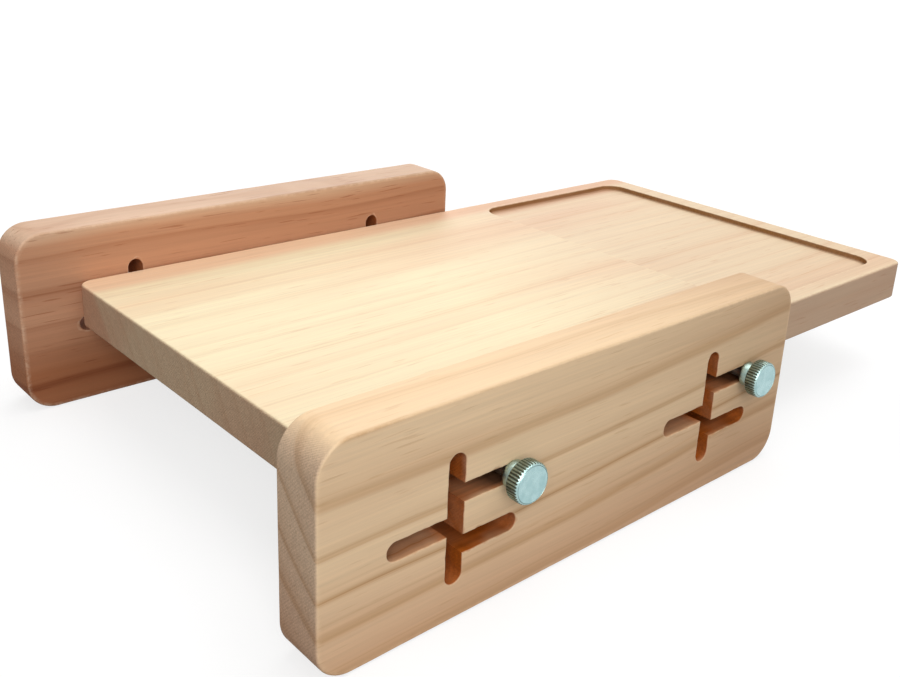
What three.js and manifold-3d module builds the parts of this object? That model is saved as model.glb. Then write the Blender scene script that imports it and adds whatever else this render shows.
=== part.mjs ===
// Bread slicer guide: a pine board carried between two slotted side panels by four knurled thumbscrews.
// Millimetres. X runs along the board towards its crumb tray, Y away from the front panel, Z up.
// The origin is at the middle of the whole object's footprint, on the surface that it stands on.

import * as THREE from 'three';
import { mergeVertices } from 'three/addons/utils/BufferGeometryUtils.js';
import Module from 'manifold-3d';

const wasm = await Module();
wasm.setup();

// Board and the tray at its right end.
const board = {
  length: 285,
  width: 162.5,
  thickness: 15.5,
  cornerRadius: 5,
  edgeRound: 0.8,
};
const tray = {
  length: 90,
  depth: 2.4,
  endRim: 10,
  sideRim: 8,
  cornerRadius: 8,
};

// Side panels, alike in front and behind.
const panel = {
  length: 190,
  height: 65,
  thickness: 16.5,
  cornerRadius: 10,
  edgeRound: 1,
  overhang: 20,
  aboveBoard: 19.6,
};

// Slots in each panel: a vertical one with three arms. The levels are measured down from the panel's top.
const slot = {
  width: 5.5,
  fromPanelEnd: 42,
  reach: 19,
  topEnd: 18.2,
  upperArm: 27.4,
  middleArm: 35.9,
  lowerArm: 42.7,
  bottomEnd: 51,
};

// Thumbscrew: a knurled knob with a collar, pressed on a threaded stud.
const knob = {
  diameter: 12,
  knurlLength: 4.2,
  chamfer: 0.4,
  teeth: 40,
  toothDepth: 0.35,
  collarDiameter: 8,
  collarLength: 3.5,
  collarChamfer: 0.4,
  boreDepth: 6,
};
const stud = {
  diameter: 4,
  rootDiameter: 3.1,
  reliefDiameter: 2.8,
  reliefLength: 0.7,
  pitch: 0.7,
  threadTurns: 16,
  tipLength: 0.8,
  tipDiameter: 2.2,
  engagement: 10,
};
const insert = {
  diameter: 7.6,
  rootDiameter: 6.6,
  length: 12,
  barbs: 5,
  mouthChamfer: 0.5,
};

// Clearances, the overrun of every cut, and how finely arcs are drawn.
const fit = {
  boardToPanel: 0.3,
  collarToPanel: 0.3,
  studInKnob: 0.3,
  studInInsert: 0.3,
  insertInBoard: 0.3,
  insertToBoreEnd: 0.5,
};
const overrun = 1;
const mergeTolerance = 1e-5;
const detail = { cornerSteps: 6, slotSteps: 8, roundSteps: 2, roundSides: 24, threadSides: 12, barbSides: 16 };

// Colours, read off the wood and the plated steel.
const finish = {
  board: { color: 0xe6c49c, roughness: 0.62, metalness: 0 },
  frontPanel: { color: 0xc9ab84, roughness: 0.62, metalness: 0 },
  rearPanel: { color: 0xbb8f6c, roughness: 0.62, metalness: 0 },
  knob: { color: 0xb4c8cc, roughness: 0.32, metalness: 1 },
  stud: { color: 0xa8adad, roughness: 0.36, metalness: 1 },
  insert: { color: 0xb59a55, roughness: 0.4, metalness: 1 },
};

// Places that follow from the sizes above.
const place = {};
place.left = -(panel.overhang + board.length) / 2;
place.boardLeft = place.left + panel.overhang;
place.boardRight = place.boardLeft + board.length;
place.boardTop = panel.height - panel.aboveBoard;
place.boardBottom = place.boardTop - board.thickness;
place.screwLevel = panel.height - slot.upperArm;
place.panelInside = board.width / 2 + fit.boardToPanel;
place.panelOutside = place.panelInside + panel.thickness;
place.collarSeat = place.panelOutside + fit.collarToPanel;
place.slotX = [place.left + slot.fromPanelEnd, place.left + panel.length - slot.fromPanelEnd];
place.screwX = place.slotX.map((x) => x + slot.reach);

const insertBore = {
  radius: insert.diameter / 2 + fit.insertInBoard,
  depth: insert.length + fit.insertToBoreEnd,
};

// Solids from closed geometries, for cutting and joining, and back.
function toSolid(geometry) {
  const bare = geometry.clone();
  bare.deleteAttribute('normal');
  bare.deleteAttribute('uv');
  const merged = mergeVertices(bare, mergeTolerance);
  const mesh = new wasm.Mesh({
    numProp: 3,
    vertProperties: new Float32Array(merged.attributes.position.array),
    triVerts: new Uint32Array(merged.index.array),
  });
  return new wasm.Manifold(mesh);
}

function toGeometry(solid) {
  const mesh = solid.getMesh();
  const geometry = new THREE.BufferGeometry();
  geometry.setAttribute('position', new THREE.BufferAttribute(mesh.vertProperties, 3));
  geometry.setIndex(new THREE.BufferAttribute(mesh.triVerts, 1));
  geometry.computeVertexNormals();
  return geometry;
}

function subtractAll(body, cuts) {
  return cuts.reduce((rest, cut) => rest.subtract(cut), body);
}

// A rectangle with round corners, from its lowest corner.
function roundedRectangle(x, y, width, height, radius) {
  const right = x + width;
  const top = y + height;
  const shape = new THREE.Shape();
  shape.moveTo(x + radius, y);
  shape.lineTo(right - radius, y);
  shape.absarc(right - radius, y + radius, radius, -Math.PI / 2, 0, false);
  shape.lineTo(right, top - radius);
  shape.absarc(right - radius, top - radius, radius, 0, Math.PI / 2, false);
  shape.lineTo(x + radius, top);
  shape.absarc(x + radius, top - radius, radius, Math.PI / 2, Math.PI, false);
  shape.lineTo(x, y + radius);
  shape.absarc(x + radius, y + radius, radius, Math.PI, 1.5 * Math.PI, false);
  return shape;
}

// A plate whose outline is the shape's own, with both faces' edges rounded over.
function roundedPlate(shape, thickness, edgeRound) {
  return new THREE.ExtrudeGeometry(shape, {
    depth: thickness - 2 * edgeRound,
    bevelEnabled: true,
    bevelThickness: edgeRound,
    bevelSize: edgeRound,
    bevelOffset: -edgeRound,
    bevelSegments: detail.roundSteps,
    curveSegments: detail.cornerSteps,
  }).translate(0, 0, edgeRound);
}

// A slot between two end centres, as a shape with half-round ends.
function slotShape(x1, y1, x2, y2) {
  const radius = slot.width / 2;
  const angle = Math.atan2(y2 - y1, x2 - x1);
  const shape = new THREE.Shape();
  shape.absarc(x2, y2, radius, angle - Math.PI / 2, angle + Math.PI / 2, false);
  shape.absarc(x1, y1, radius, angle + Math.PI / 2, angle + 1.5 * Math.PI, false);
  shape.closePath();
  return shape;
}

// One group of slots through a panel that lies flat: X along it, Y up it, Z through its thickness.
function slotGroup(x) {
  const level = (down) => panel.height - down;
  const arms = [
    slotShape(x, level(slot.bottomEnd), x, level(slot.topEnd)),
    slotShape(x, level(slot.upperArm), x + slot.reach, level(slot.upperArm)),
    slotShape(x - slot.reach, level(slot.middleArm), x, level(slot.middleArm)),
    slotShape(x, level(slot.lowerArm), x + slot.reach, level(slot.lowerArm)),
  ];
  const cuts = arms.map((arm) => toSolid(new THREE.ExtrudeGeometry(arm, {
    depth: panel.thickness + 2 * overrun,
    bevelEnabled: false,
    curveSegments: detail.slotSteps,
  }).translate(0, 0, -overrun)));
  return cuts.reduce((joined, cut) => joined.add(cut));
}

function panelGeometry() {
  const outline = roundedRectangle(place.left, 0, panel.length, panel.height, panel.cornerRadius);
  const plate = toSolid(roundedPlate(outline, panel.thickness, panel.edgeRound));
  return toGeometry(subtractAll(plate, place.slotX.map(slotGroup)));
}

// The board lies with its underside at Z = 0 here.
function boardGeometry() {
  const outline = roundedRectangle(
    place.boardLeft, -board.width / 2, board.length, board.width, board.cornerRadius,
  );
  const plate = toSolid(roundedPlate(outline, board.thickness, board.edgeRound));
  return toGeometry(subtractAll(plate, [trayCut(), ...insertBores()]));
}

function trayCut() {
  const right = place.boardRight - tray.endRim;
  const width = board.width - 2 * tray.sideRim;
  const outline = roundedRectangle(right - tray.length, -width / 2, tray.length, width, tray.cornerRadius);
  return toSolid(new THREE.ExtrudeGeometry(outline, {
    depth: tray.depth + overrun,
    bevelEnabled: false,
    curveSegments: detail.cornerSteps,
  }).translate(0, 0, board.thickness - tray.depth));
}

function insertBores() {
  const length = insertBore.depth + overrun;
  const middle = board.width / 2 + overrun - length / 2;
  const bore = new THREE.CylinderGeometry(insertBore.radius, insertBore.radius, length, detail.roundSides);
  const level = place.screwLevel - place.boardBottom;
  return place.screwX.flatMap((x) => [-1, 1].map(
    (side) => toSolid(bore.clone().translate(x, side * middle, level)),
  ));
}

// Turned pieces have their axis along Z, pointing out of the board, until they are placed.
// A profile is a list of [radius, height] from the lowest point on the axis to the highest.
function turned(profile, sides) {
  const points = profile.map(([radius, height]) => new THREE.Vector2(radius, height));
  return new THREE.LatheGeometry(points, sides).rotateX(Math.PI / 2);
}

// The knob stands on its collar at Z = 0. Its bore takes the stud.
function knobGeometry() {
  const radius = knob.diameter / 2;
  const collar = knob.collarDiameter / 2;
  const top = knob.collarLength + knob.knurlLength;
  const blank = toSolid(turned([
    [0, 0],
    [collar - knob.collarChamfer, 0],
    [collar, knob.collarChamfer],
    [collar, knob.collarLength],
    [radius - knob.chamfer, knob.collarLength],
    [radius, knob.collarLength + knob.chamfer],
    [radius, top - knob.chamfer],
    [radius - knob.chamfer, top],
    [0, top],
  ], detail.roundSides));
  const bore = new THREE.CylinderGeometry(
    stud.diameter / 2 + fit.studInKnob,
    stud.diameter / 2 + fit.studInKnob,
    knob.boreDepth + overrun,
    detail.roundSides,
  ).rotateX(Math.PI / 2).translate(0, 0, (knob.boreDepth - overrun) / 2);
  return toGeometry(blank.intersect(knurlEnvelope()).subtract(toSolid(bore)));
}

// What the knurling leaves: a toothed bar round the head, and room for the collar below it.
function knurlEnvelope() {
  const crest = knob.diameter / 2 + overrun;
  const root = knob.diameter / 2 - knob.toothDepth;
  const outline = new THREE.Shape();
  for (let i = 0; i < knob.teeth; i += 1) {
    const turn = (2 * Math.PI * i) / knob.teeth;
    const half = turn + Math.PI / knob.teeth;
    outline.lineTo(root * Math.cos(turn), root * Math.sin(turn));
    outline.lineTo(crest * Math.cos(half), crest * Math.sin(half));
  }
  return toSolid(new THREE.ExtrudeGeometry(outline, {
    depth: knob.collarLength + knob.knurlLength + 2 * overrun,
    bevelEnabled: false,
  }).translate(0, 0, -overrun));
}

// A right-hand screw thread between two stacks of plain rings, as one closed surface.
// Heights run up the axis: lower rings first, then the thread from base, then the upper rings.
function threadedRod(lower, base, upper) {
  const sides = detail.threadSides;
  const steps = stud.threadTurns * sides;
  const rise = stud.pitch / sides;
  const positions = [];
  const faces = [];

  const addPoint = (radius, index, height) => {
    const turn = (2 * Math.PI * index) / sides;
    positions.push(radius * Math.cos(turn), radius * Math.sin(turn), height);
    return positions.length / 3 - 1;
  };
  const addQuad = (a, b, c, d) => faces.push(a, b, c, a, c, d);
  const addRing = ([radius, height]) => Array.from({ length: sides }, (_, k) => addPoint(radius, k, height));
  const joinRings = (below, above) => below.forEach((point, k) => {
    const next = (k + 1) % sides;
    addQuad(point, below[next], above[next], above[k]);
  });
  const capRing = (ring, height, upwards) => {
    const centre = addPoint(0, 0, height);
    ring.forEach((point, k) => {
      const next = ring[(k + 1) % sides];
      faces.push(centre, ...(upwards ? [point, next] : [next, point]));
    });
  };

  const roots = Array.from({ length: steps + sides + 1 }, (_, i) => (
    addPoint(stud.rootDiameter / 2, i, base + i * rise)
  ));
  const crests = Array.from({ length: steps + 1 }, (_, i) => (
    addPoint(stud.diameter / 2, i, base + i * rise + stud.pitch / 2)
  ));
  for (let i = 0; i < steps; i += 1) {
    addQuad(roots[i], roots[i + 1], crests[i + 1], crests[i]);
    addQuad(crests[i], crests[i + 1], roots[i + 1 + sides], roots[i + sides]);
  }

  const lowerRings = lower.map(addRing);
  const upperRings = upper.map(addRing);
  lowerRings.slice(1).forEach((ring, i) => joinRings(lowerRings[i], ring));
  upperRings.slice(1).forEach((ring, i) => joinRings(upperRings[i], ring));
  capRing(lowerRings[0], lower[0][1], false);
  capRing(upperRings.at(-1), upper.at(-1)[1], true);

  // The thread starts and stops at a step, which closes on the ring next to it.
  const start = lowerRings.at(-1);
  const stop = upperRings[0];
  for (let k = 0; k < sides; k += 1) {
    const next = (k + 1) % sides;
    addQuad(start[k], start[next], roots[k + 1], roots[k]);
    addQuad(roots[steps + k], roots[steps + k + 1], stop[next], stop[k]);
  }
  faces.push(start[0], roots[0], roots[sides]);
  faces.push(roots[0], crests[0], roots[sides]);
  faces.push(stop[0], roots[steps + sides], roots[steps]);
  faces.push(roots[steps], roots[steps + sides], crests[steps]);

  const geometry = new THREE.BufferGeometry();
  geometry.setAttribute('position', new THREE.Float32BufferAttribute(positions, 3));
  geometry.setIndex(faces);
  geometry.computeVertexNormals();
  return geometry;
}

// The stud's Z = 0 is the knob's seat on its collar. It runs down through the panel into the insert.
function studGeometry() {
  const tip = -(fit.collarToPanel + panel.thickness + fit.boardToPanel + stud.engagement);
  const top = knob.boreDepth - fit.studInKnob;
  const relief = stud.reliefDiameter / 2;
  const radius = stud.diameter / 2;
  const base = tip + stud.tipLength;
  const threadTop = base + (stud.threadTurns + 1) * stud.pitch;
  const neck = threadTop + stud.reliefLength;
  return threadedRod(
    [[stud.tipDiameter / 2, tip], [relief, base - stud.pitch / 2]],
    base,
    [[relief, neck - stud.pitch / 2], [radius, neck], [radius, top]],
  );
}

// The insert's mouth is at Z = 0, flush with the board's edge. Barbs run down its outside.
function insertGeometry() {
  const bore = stud.diameter / 2 + fit.studInInsert;
  const outer = insert.diameter / 2;
  const root = insert.rootDiameter / 2;
  const step = insert.length / (insert.barbs + 1);
  const barbs = Array.from({ length: insert.barbs }, (_, i) => {
    const height = -insert.length + (i + 1) * step;
    return [[outer, height], [root, height]];
  }).flat();
  const profile = [
    [bore, -insert.length],
    [root, -insert.length],
    ...barbs,
    [outer, -insert.mouthChamfer],
    [outer, 0],
    [bore + insert.mouthChamfer, 0],
    [bore, -insert.mouthChamfer],
    [bore, -insert.length],
  ];
  return turned(profile, detail.barbSides);
}

function namedMesh(name, geometry, look) {
  const mesh = new THREE.Mesh(geometry, new THREE.MeshStandardMaterial(look));
  mesh.name = name;
  return mesh;
}

// Stands a flat-made panel upright. Its local Z then points to the front.
function uprightPanel(name, frontFace, look) {
  const mesh = namedMesh(name, panelGeometry(), look);
  mesh.rotation.x = Math.PI / 2;
  mesh.position.y = frontFace + panel.thickness;
  return mesh;
}

// An axis that points out of the board at one place, front (side -1) or rear (side 1).
function screwAxis(x, side) {
  const axis = new THREE.Group();
  axis.position.set(x, 0, place.screwLevel);
  axis.rotation.x = (-side * Math.PI) / 2;
  return axis;
}

function addScrewed(axis, name, knobShape, studShape, insertShape) {
  const knobMesh = namedMesh(`${name}_knob`, knobShape, finish.knob);
  const studMesh = namedMesh(`${name}_stud`, studShape, finish.stud);
  const insertMesh = namedMesh(`${name}_insert`, insertShape, finish.insert);
  knobMesh.position.z = place.collarSeat;
  studMesh.position.z = place.collarSeat;
  insertMesh.position.z = board.width / 2;
  axis.add(knobMesh, studMesh, insertMesh);
}

const group = new THREE.Group();

const boardMesh = namedMesh('board', boardGeometry(), finish.board);
boardMesh.position.z = place.boardBottom;
group.add(boardMesh);

group.add(uprightPanel('front_panel', -place.panelOutside, finish.frontPanel));
group.add(uprightPanel('rear_panel', place.panelInside, finish.rearPanel));

const knobShape = knobGeometry();
const studShape = studGeometry();
const insertShape = insertGeometry();
for (const [sideName, side] of [['front', -1], ['rear', 1]]) {
  place.screwX.forEach((x, i) => {
    const axis = screwAxis(x, side);
    addScrewed(axis, `${sideName}_${i === 0 ? 'left' : 'right'}`, knobShape, studShape, insertShape);
    group.add(axis);
  });
}

export default group;
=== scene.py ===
"""Looks of a bread slicer guide: a pine board between two slotted pine panels, held by four thumbscrews.

Every length is in metres, in the part's own frame: X runs along the board towards its crumb tray, Y from the
front panel to the rear one, and Z up from the surface that the panels stand on.
"""

import logging
import math
from collections.abc import Callable, Iterable, Mapping, Sequence
from dataclasses import dataclass
from enum import Enum

import bpy
import bmesh
import numpy as np
from mathutils import Color, Matrix, Vector, noise
from mathutils.geometry import delaunay_2d_cdt


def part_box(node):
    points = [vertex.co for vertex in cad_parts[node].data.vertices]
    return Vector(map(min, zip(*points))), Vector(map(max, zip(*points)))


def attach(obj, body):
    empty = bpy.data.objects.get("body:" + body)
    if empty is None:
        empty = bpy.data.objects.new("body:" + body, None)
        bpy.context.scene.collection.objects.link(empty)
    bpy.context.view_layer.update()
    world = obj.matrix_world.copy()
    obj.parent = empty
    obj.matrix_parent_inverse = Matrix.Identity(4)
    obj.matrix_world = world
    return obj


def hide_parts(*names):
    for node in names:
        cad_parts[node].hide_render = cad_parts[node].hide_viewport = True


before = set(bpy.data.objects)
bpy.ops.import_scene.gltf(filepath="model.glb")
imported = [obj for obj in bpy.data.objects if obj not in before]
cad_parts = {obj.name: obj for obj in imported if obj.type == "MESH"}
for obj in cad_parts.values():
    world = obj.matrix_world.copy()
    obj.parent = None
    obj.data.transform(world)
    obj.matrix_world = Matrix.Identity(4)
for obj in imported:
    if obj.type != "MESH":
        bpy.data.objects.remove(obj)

log = logging.getLogger("slicer_guide")

Colour = tuple[float, float, float]
Place = tuple[float, float, float]
Ring = list[int]
Socket = bpy.types.NodeSocket
ToSpace = Callable[[np.ndarray, float], np.ndarray]

MM = 0.001
FULL_TURN = 2.0 * math.pi
HALF_TURN = math.pi
QUARTER_TURN = 0.5 * math.pi
BRIGHTEST = 255.0
WHITE: Colour = (1.0, 1.0, 1.0)

# Edges that turn more than this many degrees stay sharp.
WOOD_SHARP = 38.0
METAL_SHARP = 32.0
THREAD_SHARP = 40.0


class Named(Enum):
    """Options that the nodes' names spell in small letters."""

    @property
    def word(self) -> str:
        """The option as the nodes spell it."""
        return self.name.lower()


class Side(Named):
    """Which long edge of the board a piece is on. The value is the way out along Y."""

    FRONT = -1.0
    REAR = 1.0


class End(Named):
    """Which of a panel's two slot groups a thumbscrew goes through. The value is its place in the pair."""

    LEFT = 0
    RIGHT = 1


class Axis(Enum):
    """One of the part's own axes."""

    X = "X"
    Y = "Y"
    Z = "Z"


class Reading(Enum):
    """What a finish can read of the point being shaded, in the piece's own space."""

    PLACE = "Object"
    NORMAL = "Normal"


class Mark(Enum):
    """Numbers kept at every point of a mesh for its finish to read."""

    # Pale arris: partly wear, partly painted highlight.
    EDGE = "edge"
    # Darkening of cut walls: partly scorching, partly painted shade.
    CUT = "cut"
    TURNED = "turned_radius"
    # Soiling in knurling and thread roots, and painted shade on the knob's neck and round its face.
    VALLEY = "valley"
    # Painted shadow of a knob on its slot arm's wall.
    GRIME = "grime"


# Where the four thumbscrews are.
SCREWS = tuple((side, end) for side in Side for end in End)


def shade(red: int, green: int, blue: int) -> Colour:
    """Turns a colour read off a picture into the renderer's own scale.

    Args:
        red, green, blue: The colour, each 0 to 255.

    Returns:
        The same colour in linear light.
    """
    return tuple(Color((red / BRIGHTEST, green / BRIGHTEST, blue / BRIGHTEST)).from_srgb_to_scene_linear())


@dataclass(frozen=True)
class Span:
    """A stretch of numbers and the stretch that it is mapped to, held at both ends.

    Attributes:
        low, high: The first stretch.
        to_low, to_high: What its two ends become.
    """

    low: float = 0.0
    high: float = 1.0
    to_low: float = 0.0
    to_high: float = 1.0


@dataclass(frozen=True)
class Cloud:
    """A cloudy pattern of chance, 0 to 1.

    Attributes:
        cells: Its cells to the metre along each axis.
        layers: How many finer layers it has.
        roughness: How strong those are.
    """

    cells: Place
    layers: float
    roughness: float = 0.5


class NodeSheet:
    """Short ways to lay out nodes.

    Attributes:
        MIX_INPUTS: A Mix node's sockets for its share and its two colours.
        MIX_OUTPUT: Its socket for the mixed colour.
        tree: The tree that the nodes are in.
    """

    MIX_INPUTS = (0, 6, 7)
    MIX_OUTPUT = 2

    def __init__(self, tree: bpy.types.NodeTree) -> None:
        """Starts on a tree."""
        self.tree = tree

    def node(self, kind: str, **settings: object) -> bpy.types.Node:
        """Adds a node and sets its options.

        Args:
            kind: The node's type name.
            settings: The node's own properties.

        Returns:
            The new node.
        """
        made = self.tree.nodes.new(kind)
        for name, value in settings.items():
            setattr(made, name, value)
        return made

    def feed(self, socket: Socket, value: object) -> None:
        """Links a socket to another one, or sets a plain value on it.

        Args:
            socket: The socket to feed.
            value: The other socket, or the value. A colour has three parts.
        """
        if isinstance(value, bpy.types.NodeSocket):
            self.tree.links.new(value, socket)
        elif isinstance(value, tuple) and socket.type == "RGBA":
            socket.default_value = (*value, 1.0)
        else:
            socket.default_value = value

    def feed_all(self, sockets: Iterable[Socket], values: Iterable[object]) -> None:
        """Feeds each socket its own value."""
        for socket, value in zip(sockets, values):
            self.feed(socket, value)

    def maths(self, operation: str, *values: object) -> Socket:
        """Adds a Math node.

        Args:
            operation: The node's operation.
            values: Its inputs, numbers or sockets.

        Returns:
            The node's output.
        """
        made = self.node("ShaderNodeMath", operation=operation)
        self.feed_all(made.inputs, values)
        return made.outputs[0]

    def vector(self, operation: str, first: object, second: object) -> Socket:
        """Adds a Vector Math node.

        Args:
            operation: The node's operation.
            first, second: Its two vectors.

        Returns:
            The node's output.
        """
        made = self.node("ShaderNodeVectorMath", operation=operation)
        self.feed_all(made.inputs, (first, second))
        return made.outputs[0]

    def span(self, value: object, span: Span) -> Socket:
        """Maps a number from one stretch to another.

        Args:
            value: The number or socket.
            span: The two stretches.

        Returns:
            The mapped number.
        """
        made = self.node("ShaderNodeMapRange", clamp=True)
        self.feed_all(made.inputs, (value, span.low, span.high, span.to_low, span.to_high))
        return made.outputs[0]

    def mix(self, share: object, first: object, second: object, blend: str = "MIX") -> Socket:
        """Mixes two colours.

        Args:
            share: How much of the second one.
            first, second: Colours or sockets.
            blend: How they are joined.

        Returns:
            The mixed colour.
        """
        made = self.node("ShaderNodeMix", data_type="RGBA", blend_type=blend)
        self.feed_all((made.inputs[place] for place in self.MIX_INPUTS), (share, first, second))
        return made.outputs[self.MIX_OUTPUT]

    def tint(self, colour: object, by: object, share: object = 1.0) -> Socket:
        """Multiplies a colour by another, wholly or in part."""
        return self.mix(share, colour, by, "MULTIPLY")

    def cloud(self, place: object, cloud: Cloud, span: Span = Span()) -> Socket:
        """Adds a cloudy pattern.

        Args:
            place: Where to read it.
            cloud: The pattern.
            span: What its levels are mapped to.

        Returns:
            The pattern's level.
        """
        made = self.node("ShaderNodeTexNoise")
        self.feed(made.inputs["Vector"], self.vector("MULTIPLY", place, cloud.cells))
        for name, value in (("Scale", 1.0), ("Detail", cloud.layers), ("Roughness", cloud.roughness)):
            self.feed(made.inputs[name], value)
        return made.outputs[0] if span == Span() else self.span(made.outputs[0], span)

    def waver(self, value: object, cells: float) -> Socket:
        """Adds a pattern of chance along one number.

        Args:
            value: Where to read it.
            cells: Its cells to each whole number.

        Returns:
            The pattern's level, 0 to 1.
        """
        made = self.node("ShaderNodeTexNoise", noise_dimensions="1D")
        self.feed(made.inputs["W"], value)
        self.feed(made.inputs["Scale"], cells)
        return made.outputs[0]

    def ramp(self, value: object, stops: Sequence[tuple[float, float]]) -> Socket:
        """Adds a grey ramp.

        Args:
            value: Where on the ramp to read.
            stops: Each stop's place and level. The first is at 0 and the last at 1.

        Returns:
            The level there.
        """
        made = self.node("ShaderNodeValToRGB")
        made.color_ramp.interpolation = "EASE"
        bars = made.color_ramp.elements
        for where, _ in stops[1:-1]:
            bars.new(where)
        for bar, (_, level) in zip(bars, stops):
            bar.color = (level, level, level, 1.0)
        self.feed(made.inputs[0], value)
        return made.outputs[0]

    def mark(self, mark: Mark) -> Socket:
        """Reads a number that the mesh keeps at its points."""
        return self.node("ShaderNodeAttribute", attribute_name=mark.value).outputs["Fac"]

    def reading(self, reading: Reading) -> Socket:
        """Reads a vector of the point being shaded."""
        return self.node("ShaderNodeTexCoord").outputs[reading.value]

    def part(self, reading: Reading, axis: Axis) -> Socket:
        """Reads one part of such a vector.

        Args:
            reading: The vector.
            axis: The part.

        Returns:
            The number.
        """
        split = self.node("ShaderNodeSeparateXYZ")
        self.feed(split.inputs[0], self.reading(reading))
        return split.outputs[axis.value]

    def facing(self, axis: Axis, span: Span) -> Socket:
        """How squarely the surface faces along an axis, either way, mapped to a span."""
        return self.span(self.maths("ABSOLUTE", self.part(Reading.NORMAL, axis)), span)

    def seen_rays(self) -> Socket:
        """Tells what is seen from light that bounces.

        Returns:
            1 for rays from the camera, a reflection or a transparent surface, and 0 for the others.
        """
        rays = self.node("ShaderNodeLightPath").outputs
        shown = self.maths("MAXIMUM", rays["Is Camera Ray"], rays["Is Glossy Ray"])
        return self.maths("MAXIMUM", shown, rays["Is Transmission Ray"])


class MaterialSheet(NodeSheet):
    """The nodes of one material.

    Attributes:
        material: The material.
        shader: Its standard shader.
    """

    def __init__(self, name: str) -> None:
        """Starts a material.

        Args:
            name: Its name.
        """
        self.material = bpy.data.materials.new(name)
        self.material.use_nodes = True
        super().__init__(self.material.node_tree)
        self.shader = self.tree.nodes["Principled BSDF"]

    def bump(self, height: object, depth: float, strength: float) -> None:
        """Feeds the shader's normal from a height.

        Args:
            height: The height, 0 to 1.
            depth: What a height of 1 stands for.
            strength: How much of it shows.
        """
        made = self.node("ShaderNodeBump")
        for name, value in (("Strength", strength), ("Distance", depth), ("Height", height)):
            self.feed(made.inputs[name], value)
        self.feed(self.shader.inputs["Normal"], made.outputs[0])

    def finish(self, inputs: Mapping[str, object]) -> bpy.types.Material:
        """Feeds the shader.

        Args:
            inputs: What each of its inputs gets, by the input's name.

        Returns:
            The finished material.
        """
        for name, value in inputs.items():
            self.feed(self.shader.inputs[name], value)
        return self.material


@dataclass(frozen=True)
class Fade:
    """Painted shade: a slow darkening of a wood's colour along one axis, where less light falls.

    Attributes:
        colour: What the colour is multiplied by at the far end.
        start, whole: Where along the axis it starts, and where it is the whole of it.
        along: The axis.
        sway: How far that boundary wanders.
    """

    colour: Colour
    start: float
    whole: float
    along: Axis = Axis.X
    sway: float = 0.0


@dataclass(frozen=True)
class Pine:
    """Bare planed pine, sawn from a log whose heart runs along X.

    Attributes:
        name: The material's name.
        early: Colour of the pale wood between the ring lines.
        late: Colour of the ring lines.
        blush: The warmer tone of some of the rings.
        heart: Y and Z of the log's heart.
        ring: Distance between the broad warm bands.
        line: Distance between the fine lines inside a band.
        lean: How far the rings drift across for each metre along X.
        wave: How far they wander.
        line_strength: How strongly the fine lines show.
        glow_strength: How strongly the bands show.
        warm: Where the wood is warmest and where it is plain, as distances from the heart.
        blush_strength: How strongly its warmer tone shows.
        offset: Moves every pattern, so that no two pieces are alike.
        fades: Painted shade that darkens its colour along an axis.
        top_calm: How much weaker the bands are on faces towards Z.
        fleck_strength: How dark its resin flecks are.
        end_tint: What end grain multiplies the colour by: its own darker tone, with painted shade on the end
            faces.
        side_tint: What the sawn faces towards Y multiply it by: painted shade, and on the board also its sawn
            edges' own tone.
        top_tint: What the faces towards Z multiply it by, as painted shade.
        toasted_and_shaded: Colour of cut walls: partly the cutter's scorching, partly painted shade.
        grime: Colour of a knob's painted shadow on its slot arm's wall.
    """

    name: str
    early: Colour
    late: Colour
    blush: Colour
    heart: tuple[float, float]
    ring: float
    line: float
    lean: float
    wave: float
    line_strength: float
    glow_strength: float
    warm: tuple[float, float]
    blush_strength: float
    offset: Place
    fades: tuple[Fade, ...]
    top_calm: float = 0.0
    fleck_strength: float = 0.45
    end_tint: Colour = shade(234, 234, 244)
    side_tint: Colour = WHITE
    top_tint: Colour = WHITE
    # Partly scorching, partly painted shade.
    toasted_and_shaded: Colour = shade(158, 88, 48)
    # Painted shadow of a knob in its slot arm.
    grime: Colour = shade(52, 32, 20)

    def material(self) -> bpy.types.Material:
        """Builds the material."""
        return PineSheet(self).material_of_wood()


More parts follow.
